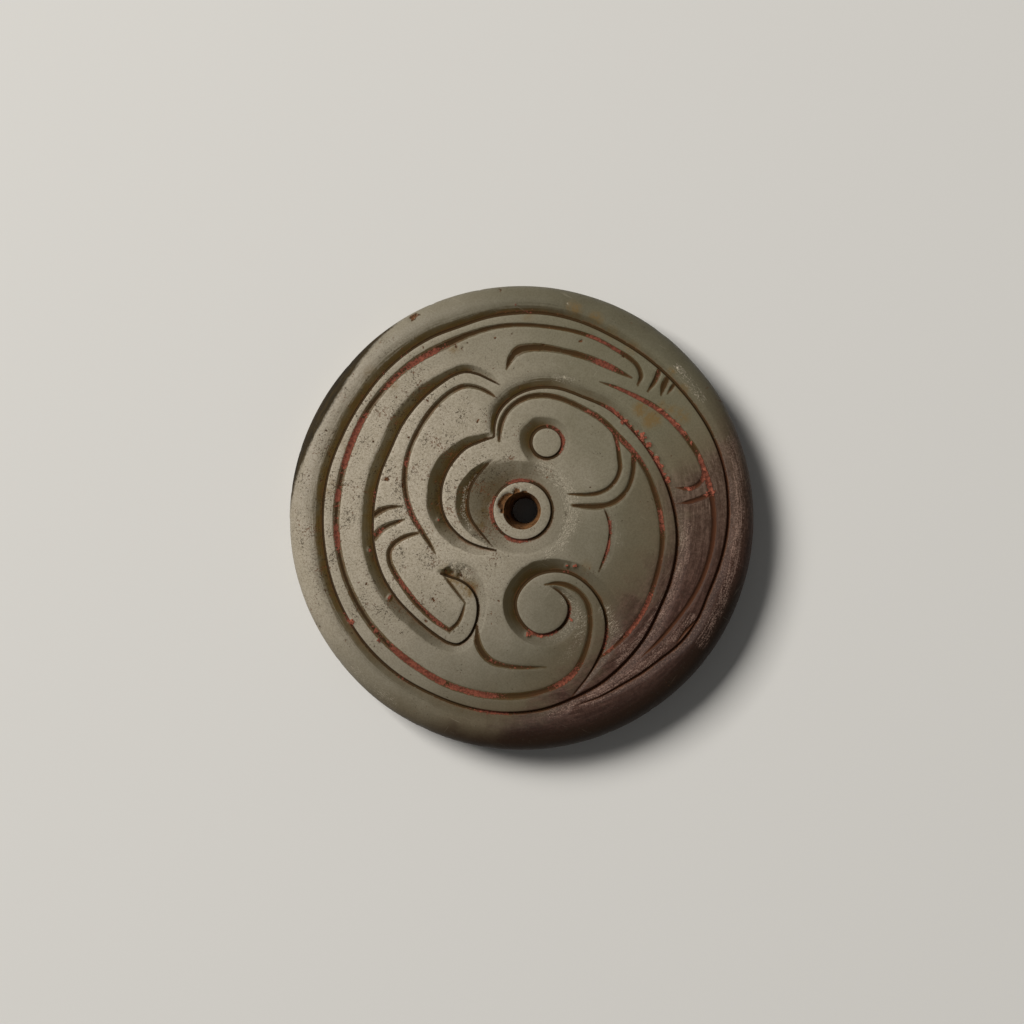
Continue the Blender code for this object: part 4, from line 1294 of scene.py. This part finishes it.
    def altered_stone(self, colour):
        """The brown side: a warm border, mauve and pale streaks, darker towards the lower right as stain with
        painted light fall-off, and nearly black low on the rim as stain with painted shade.
        """
        warm = self.product(self.step(self.past_edge, -7.0, 1.0), 0.55)
        colour = self.mixed(warm, colour, (0.105, 0.075, 0.043, 1.0))
        streaks = self.step(self.scaled(self.fine, 0.4, self.product(self.arcs, 0.6)), 0.42, 0.62)
        brown = self.mixed(streaks, self.colours.brown, self.colours.mauve)
        brown = self.mixed(self.step(self.fine_arcs, 0.56, 0.68, 0.0, 0.55), brown, (0.20, 0.135, 0.105, 1.0))
        # Stain with painted light fall-off: the brown is darker and redder towards the lower right.
        low_side_stain_and_falloff = self.step(self.scaled(self.x, 0.5, self.product(self.y, -1.0)), 3.0, 17.0)
        brown = self.tinted(brown, self.mixed(low_side_stain_and_falloff, (1.12, 1.15, 1.12, 1.0), (0.70, 0.55, 0.55, 1.0)))
        # Painted shade with dark stain: nearly black low on the rim, whose rounding faces away from the
        # light.
        low_rim_stain_and_shade = self.product(self.step(self.reach, 19.0, 22.0),
                               self.step(self.scaled(self.x, -0.25, self.y), -9.0, -16.0))
        brown = self.mixed(self.product(low_rim_stain_and_shade, 0.88), brown, (0.012, 0.0045, 0.0025, 1.0))
        return self.mixed(self.altered, colour, brown)

    def rim(self, colour):
        """Painted shade with stain under the lower rim, nearly black, a little darker on the left of the rim,
        with smears of olive.
        """
        # Painted shade with dark stain along the lower rim, whose rounding faces away from the light.
        under = self.product(self.step(self.reach, 20.6, 22.8),
                             self.step(self.scaled(self.x, -0.45, self.y), -13.0, -19.0))
        colour = self.mixed(self.product(under, 0.72), colour, (0.026, 0.014, 0.007, 1.0))
        left = self.product(self.step(self.reach, 20.4, 21.6), self.maths("SUBTRACT", 1.0, self.altered),
                            self.step(self.y, -8.0, 4.0))
        colour = self.mixed(left, colour, self.tinted(colour, (0.80, 0.80, 0.81, 1.0)))
        smear = self.product(self.step(self.arcs, 0.56, 0.70), self.step(self.reach, 16.0, 19.5),
                             self.rough_side)
        return self.mixed(self.product(smear, 0.45), colour, self.colours.olive)

    def speckles(self, colour):
        """Fine dark speckles, stronger on the rough and the altered sides."""
        where = self.higher(self.scaled(self.rough_side, 0.5, 0.5), self.product(self.altered, 0.9))
        share = self.product(self.step(self.grain, 0.44, 0.62), where)
        return self.mixed(share, colour, self.tinted(colour, (0.70, 0.68, 0.64, 1.0)))

    def stains(self, colour):
        """The yellow-brown stains, broken up by the grain."""
        broken = self.scaled(self.maths("SUBTRACT", self.maths("ADD", self.fine, self.patch), 1.0), 4.0, 0.9)
        stain = self.maths("MULTIPLY", self.stored("stain"), broken, clamp=True)
        return self.mixed(self.product(stain, 0.85), colour, self.colours.stained)

    def patina(self, colour):
        """Olive patina on the slopes, brushed out along the way of the tool, and heavier as painted shade
        where the slopes face away from the light.
        """
        coat = self.stored("coat")
        brushed = self.maths("ADD", coat, self.swayed(self.ragged, self.tooling, 0.95))
        cover = self.product(self.step(brushed, 0.03, 0.56), self.step(coat, 0.0, 0.04))
        # Painted shade: the patina fully covers the slopes that face away from the light, and only about a
        # quarter of those that face it.
        self.cover = self.maths("MULTIPLY", cover, self.scaled(self.painted_shade_side, 0.75, 0.27), clamp=True)
        browner = self.step(self.swayed(self.slope, self.patch, 1.2), 0.25, 0.85)
        patina = self.mixed(browner, self.colours.olive, self.colours.deep_olive)
        patina = self.tinted(patina, self.mixed(self.tooling, grey(0.70), grey(1.30)))
        patina = self.tinted(patina, self.mixed(self.pale_and_lit, (0.55, 0.56, 0.60, 1.0), grey(1.0)))
        by_mouth = self.step(self.away_from(MOUTH_MIDDLE), 12.5, 9.5)
        patina = self.mixed(by_mouth, patina, self.tinted(patina, (0.68, 0.66, 0.58, 1.0)))
        patina = self.mixed(self.altered, patina, darker(self.colours.brown, 0.6))
        return self.mixed(self.cover, colour, patina)

    def flecks(self, colour):
        """Pale flecks where the stone is worn, and painted highlights as pale flecks on the slopes that face
        the light.
        """
        painted_glint = self.product(self.step(self.noise(6.0, 3.0, 0.7), 0.50, 0.60),
                           self.step(self.slope, 0.04, 0.25), self.painted_highlight_side)
        flecked = self.stored("flecked")
        specks = self.scaled(self.fine_arcs, 0.45, self.product(self.noise(7.0, 3.0, 0.75), 0.55))
        worn = self.product(self.step(self.scaled(flecked, 0.11, specks), 0.54, 0.66),
                            self.step(flecked, 0.02, 0.5))
        # self.flecked holds the worn flecks and the painted highlights of the slopes that face the light.
        self.flecked = self.higher(self.product(painted_glint, 0.5), worn)
        pale = self.mixed(self.altered, darker(self.colours.chipped, 0.72), (0.25, 0.165, 0.130, 1.0))
        return self.mixed(self.product(self.flecked, 0.60), colour, pale)

    def cut_lines(self, colour):
        """Olive and brown in the plain cut lines."""
        line = self.stored("line")
        inside = self.product(self.step(self.maths("ADD", line, self.ragged), 0.04, 0.24),
                              self.step(line, 0.0, 0.04))
        olive = self.mixed(self.step(self.noise(0.35, 3.0), 0.42, 0.56), darker(self.colours.olive, 1.12),
                           darker(self.colours.deep_olive, 0.9))
        olive = self.tinted(olive, self.mixed(self.pale_and_lit, grey(0.72), grey(1.0)))
        olive = self.mixed(self.altered, olive, (0.040, 0.016, 0.008, 1.0))
        return self.mixed(self.product(inside, 0.88), colour, olive)

    def worn_flat(self, colour):
        """The dark flat of the worn edge, broad in its middle and ragged at its border."""
        off_middle = self.product(self.maths("SUBTRACT", self.turn, FLAT_TURN), 1.0 / FLAT_HALF_TURN)
        bow = self.maths("SUBTRACT", 1.0, self.product(off_middle, off_middle), clamp=True)
        width = self.product(self.maths("POWER", bow, 3.0), FLAT_WIDTH)
        edge = self.swayed(self.product(self.maths("SUBTRACT", self.arcs, 0.5), 1.3), self.fine, 0.8)
        inner = self.maths("ADD", self.scaled(edge, 0.5, self.reach), width)
        low_end = self.scaled(width, 0.9, self.scaled(edge, 1.6, self.z))
        self.flat = self.product(self.step(inner, 23.0, 23.35), self.step(low_end, 2.7, 3.9),
                                 self.step(width, 0.03, 0.25))
        deep = self.colours.deep_olive
        dark = self.mixed(self.step(self.arcs, 0.40, 0.62), darker(deep, 0.10), darker(deep, 0.34))
        return self.mixed(self.product(self.flat, 0.97), colour, dark)

    def pits(self, colour):
        """Dark pits and dots on the rough side."""
        made = pits_group()
        spots = self.group(made, Scale=2.6, Amount=self.product(self.rough_side, 0.75))
        dots = self.group(made, Scale=6.0, Amount=self.rough_side)
        self.pitted = self.product(self.higher(spots, dots), self.step(self.flat, 0.5, 0.1))
        filled = self.mixed(self.step(self.patch, 0.48, 0.58), self.colours.residue, self.colours.rust)
        return self.mixed(self.product(self.pitted, 0.72), colour, filled)

    def bruises(self, colour):
        """Faint bright bruises on the bare stone, and hairline scratches two ways."""
        bare = self.step(self.higher(self.cover, self.flat), 0.5, 0.1)
        bright = self.product(self.step(self.noise(5.5, 2.0), 0.60, 0.70),
                              self.scaled(self.rough_side, 0.26, 0.03), bare)
        colour = self.mixed(bright, colour, self.colours.chipped)
        made = scratches_group()
        self.scratched = self.higher(self.group(made, Turn=0.5, Share=0.55),
                                     self.group(made, Turn=2.2, Share=0.5))
        return self.mixed(self.product(self.scratched, 0.10), colour, self.colours.chipped)

    def cut_feet(self, colour):
        """Rust beside the foot of every cut, and dark residue along it."""
        near = self.stored("near")
        rusty = self.product(self.step(near, 0.25, 0.80), self.step(self.noise(0.9, 4.0, 0.7), 0.42, 0.56),
                             self.step(self.x, -22.0, 6.0, 0.45, 1.0))
        colour = self.mixed(self.product(rusty, 0.8), colour, self.colours.rust)
        uneven = self.step(self.fine, 0.28, 0.46, 0.6, 1.0)
        thin = self.maths("MULTIPLY", self.stored("foot"), uneven, clamp=True)
        broad = self.product(self.step(near, 0.50, 0.85), self.step(self.pale_and_lit, 0.75, 0.30),
                             self.step(self.fine, 0.30, 0.50, 0.15, 0.8))
        self.foot = self.higher(thin, broad)
        residue = self.colours.residue
        dark = self.mixed(self.step(self.pale_and_lit, 0.1, 0.6), darker(residue, 1.4), residue)
        dark = self.mixed(self.altered, dark, (0.055, 0.020, 0.009, 1.0))
        return self.mixed(self.step(self.foot, 0.12, 0.45, 0.0, 0.97), colour, dark)

    def red_pigment(self, colour):
        """Red pigment, smeared in the cuts and clotted in lumps."""
        red, lump = self.stored("red"), self.stored("lump")
        lumpy = self.swayed(self.product(red, 1.05), self.beads, 2.0)
        smeared = self.product(self.step(lumpy, 0.36, 0.60), self.step(red, 0.05, 0.25))
        clotted = self.product(self.step(self.swayed(lump, self.beads, 1.8), 0.25, 0.45),
                               self.step(lump, 0.02, 0.15))
        self.pigment = self.higher(smeared, clotted)
        vermilion = self.colours.red
        powder = self.mixed(self.step(self.beads, 0.35, 0.68), darker(vermilion, 0.42), vermilion)
        bright = self.product(lump, self.step(self.beads, 0.42, 0.60))
        powder = self.mixed(bright, powder, darker(vermilion, 1.6))
        return self.mixed(self.pigment, colour, powder)

    def placed_chips(self, colour):
        """The placed chips: pale where fresh, dark where filled."""
        tone = self.stored("tone")
        toned = self.swayed(tone, self.beads, 1.3)
        pale = self.product(self.step(toned, 0.22, 0.60), self.step(tone, 0.02, 0.1))
        colour = self.mixed(pale, colour, darker(self.colours.chipped, 0.85))
        dark = self.product(self.step(toned, -0.18, -0.50), self.step(tone, -0.02, -0.1))
        filled = self.mixed(self.step(self.beads, 0.42, 0.58), self.colours.residue, self.colours.rust)
        return self.mixed(dark, colour, filled)

    def bore(self, colour):
        """The stained wall of the cord hole, painted shade that darkens it to nearly black deep down, and the
        broken stone of its mouth.
        """
        hole = self.stored("hole")
        self.in_bore = self.step(hole, 0.15, 0.6)
        stained = self.step(self.noise(1.6, 5.0, 0.7), 0.38, 0.60)
        wall = self.mixed(stained, darker(self.colours.hole, 0.35), self.colours.hole)
        # Painted shade: the lower part of the bore is darkened to nearly black.
        wall = self.mixed(self.step(hole, 1.25, 1.75), wall, darker(self.colours.residue, 0.3))
        return self.mixed(self.in_bore, colour, wall)

    def colour(self):
        """All the coats, one over the other."""
        colour = self.ground()
        for coat in (self.altered_stone, self.rim, self.speckles, self.stains, self.patina, self.flecks,
                     self.cut_lines, self.worn_flat, self.pits, self.bruises, self.cut_feet, self.red_pigment,
                     self.placed_chips, self.bore):
            colour = coat(colour)
        return colour

    def roughness(self):
        """Worn polish, dull in the pits, the pigment, the bore, the dark feet and the flat."""
        rough = self.scaled(self.fine, 0.20, 0.42)
        rough = self.scaled(self.pitted, 0.2, rough)
        rough = self.scaled(self.altered, 0.06, rough)
        rough = self.higher(rough, self.product(self.pigment, 0.9))
        rough = self.higher(rough, self.product(self.in_bore, 0.8))
        rough = self.higher(rough, self.step(self.foot, 0.1, 0.4, 0.0, 0.95))
        return self.maths("MAXIMUM", rough, self.product(self.flat, 0.95), clamp=True)

    def fine_relief(self):
        """Height of what is too fine for the mesh: marks of the tool, grain, pits, flecks and scratches."""
        height = self.product(self.tooling, self.slope, 0.9)
        height = self.scaled(self.fine, 0.35, height)
        height = self.scaled(self.product(self.grain, self.scaled(self.rough_side, 0.5, 0.25)), 0.5, height)
        height = self.scaled(self.pitted, -1.0, height)
        height = self.scaled(self.flecked, -0.5, height)
        height = self.scaled(self.scratched, -0.12, height)
        return self.scaled(self.pigment, self.product(self.beads, 2.0), height)


def stone_material(colours):
    """Weathered nephrite: pale and pitted on the left, altered to brown on the right, stained in the cuts."""
    material = bpy.data.materials.new("weathered_jade")
    material.use_nodes = True
    tree = material.node_tree
    shader = tree.nodes["Principled BSDF"]
    finish = StoneFinish(tree, colours)
    tree.links.new(finish.colour(), shader.inputs["Base Color"])
    tree.links.new(finish.roughness(), shader.inputs["Roughness"])
    shader.inputs["IOR"].default_value = 1.5
    shader.inputs["Specular IOR Level"].default_value = 0.14
    inputs = {"Strength": 0.6, "Distance": 0.05 / MM, "Height": finish.fine_relief()}
    tree.links.new(node(tree, "ShaderNodeBump", inputs).outputs[0], shader.inputs["Normal"])
    return material


def floor_material(colour):
    """A plain, dull surface."""
    material = bpy.data.materials.new("plain_floor")
    material.use_nodes = True
    shader = material.node_tree.nodes["Principled BSDF"]
    shader.inputs["Base Color"].default_value = colour
    shader.inputs["Roughness"].default_value = 0.85
    shader.inputs["Specular IOR Level"].default_value = 0.2
    return material


def link(thing):
    """Puts an object in the scene."""
    bpy.context.scene.collection.objects.link(thing)
    return thing


class PENDANT_OT_carved_disc(bpy.types.Operator):
    """Makes the carved jade disc and lets its relief into it"""
    bl_idname = "pendant.carved_disc"
    bl_label = "Carved Disc"

    def execute(self, context):
        shape = context.scene.pendant_shape
        points, faces, values = weld(disc_mesh(shape))
        values["edge_wear"] = edge_wear(points, shape)
        mesh = bpy.data.meshes.new("carved_disc")
        mesh.from_pydata((points / MM).tolist(), [], faces.tolist())
        for name, value in values.items():
            stored = mesh.attributes.new(name, "FLOAT", "POINT")
            stored.data.foreach_set("value", np.ascontiguousarray(value, dtype=np.float32))
        disc = link(bpy.data.objects.new("carved_disc", mesh))
        material = stone_material(context.scene.pendant_colours)
        mesh.materials.append(material)
        tree = face_relief_tree(shape, material)
        settled(disc, tree, {"Unevenness": shape.unevenness, "Seed": shape.seed})
        if len(disc.data.polygons) >= MOST_FACES:
            raise RuntimeError("the disc has %d faces, which is too many" % len(disc.data.polygons))
        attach(disc, "root")
        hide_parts(NODE)
        return {"FINISHED"}


class PENDANT_OT_stage(bpy.types.Operator):
    """Sets out the pale floor, the soft lights and the camera that looks straight down"""
    bl_idname = "pendant.stage"
    bl_label = "Stage"

    def execute(self, context):
        stage = context.scene.pendant_stage
        half = FLOOR_WIDTH / 2.0
        mesh = bpy.data.meshes.new("floor")
        corners = [(-half, -half, 0), (half, -half, 0), (half, half, 0), (-half, half, 0)]
        mesh.from_pydata(corners, [], [(0, 1, 2, 3)])
        mesh.materials.append(floor_material(stage.floor_colour))
        floor = link(bpy.data.objects.new("floor", mesh))
        floor.location.z = -FLOOR_GAP
        self.lamp("key", stage.key_power, 0.52, (-0.74, 0.52, 0.88), (1.0, 0.97, 0.92))
        self.lamp("fill", stage.fill_power, 0.5, (0.35, -0.25, 0.45), (0.93, 0.96, 1.0))
        world = bpy.data.worlds.new("pale_room")
        world.use_nodes = True
        world.node_tree.nodes["Background"].inputs[0].default_value = (0.86, 0.84, 0.80, 1.0)
        world.node_tree.nodes["Background"].inputs[1].default_value = 0.11
        context.scene.world = world
        camera = bpy.data.cameras.new("camera")
        camera.lens = 100.0
        camera.sensor_width = 36.0
        camera.clip_start = 0.005
        camera.clip_end = 10.0
        seat = link(bpy.data.objects.new("camera", camera))
        seat.location = (*CAMERA_OFFSET, HIGH[2] + stage.camera_height)
        context.scene.camera = seat
        context.scene.view_settings.view_transform = "Standard"
        context.scene.view_settings.look = "None"
        return {"FINISHED"}

    def lamp(self, name, power, size, place, colour):
        """A square soft light that faces the pendant."""
        data = bpy.data.lights.new(name, "AREA")
        data.energy = power
        data.size = size
        data.color = colour
        lamp = link(bpy.data.objects.new(name, data))
        lamp.location = place
        lamp.rotation_euler = (Vector((0.0, 0.0, 0.0)) - Vector(place)).to_track_quat("-Z", "Y").to_euler()


class PENDANT_PT_panel(bpy.types.Panel):
    """Sizes, colours and steps of the jade pendant"""
    bl_label = "Jade Pendant"
    bl_idname = "PENDANT_PT_panel"
    bl_space_type = "VIEW_3D"
    bl_region_type = "UI"
    bl_category = "Jade Pendant"

    def draw(self, context):
        scene = context.scene
        for settings in (scene.pendant_shape, scene.pendant_colours, scene.pendant_stage):
            box = self.layout.box()
            for name in settings.__annotations__:
                box.prop(settings, name)
        self.layout.operator(PENDANT_OT_carved_disc.bl_idname)
        self.layout.operator(PENDANT_OT_stage.bl_idname)


CLASSES = (PendantShape, PendantColours, PendantStage, PENDANT_OT_carved_disc, PENDANT_OT_stage,
           PENDANT_PT_panel)


def register():
    for made in CLASSES:
        bpy.utils.register_class(made)
    bpy.types.Scene.pendant_shape = PointerProperty(type=PendantShape)
    bpy.types.Scene.pendant_colours = PointerProperty(type=PendantColours)
    bpy.types.Scene.pendant_stage = PointerProperty(type=PendantStage)


def unregister():
    del bpy.types.Scene.pendant_stage
    del bpy.types.Scene.pendant_colours
    del bpy.types.Scene.pendant_shape
    for made in reversed(CLASSES):
        bpy.utils.unregister_class(made)


def main():
    """Makes the pendant and its stage."""
    register()
    bpy.ops.pendant.carved_disc()
    bpy.ops.pendant.stage()


if __name__ == "__main__":
    main()
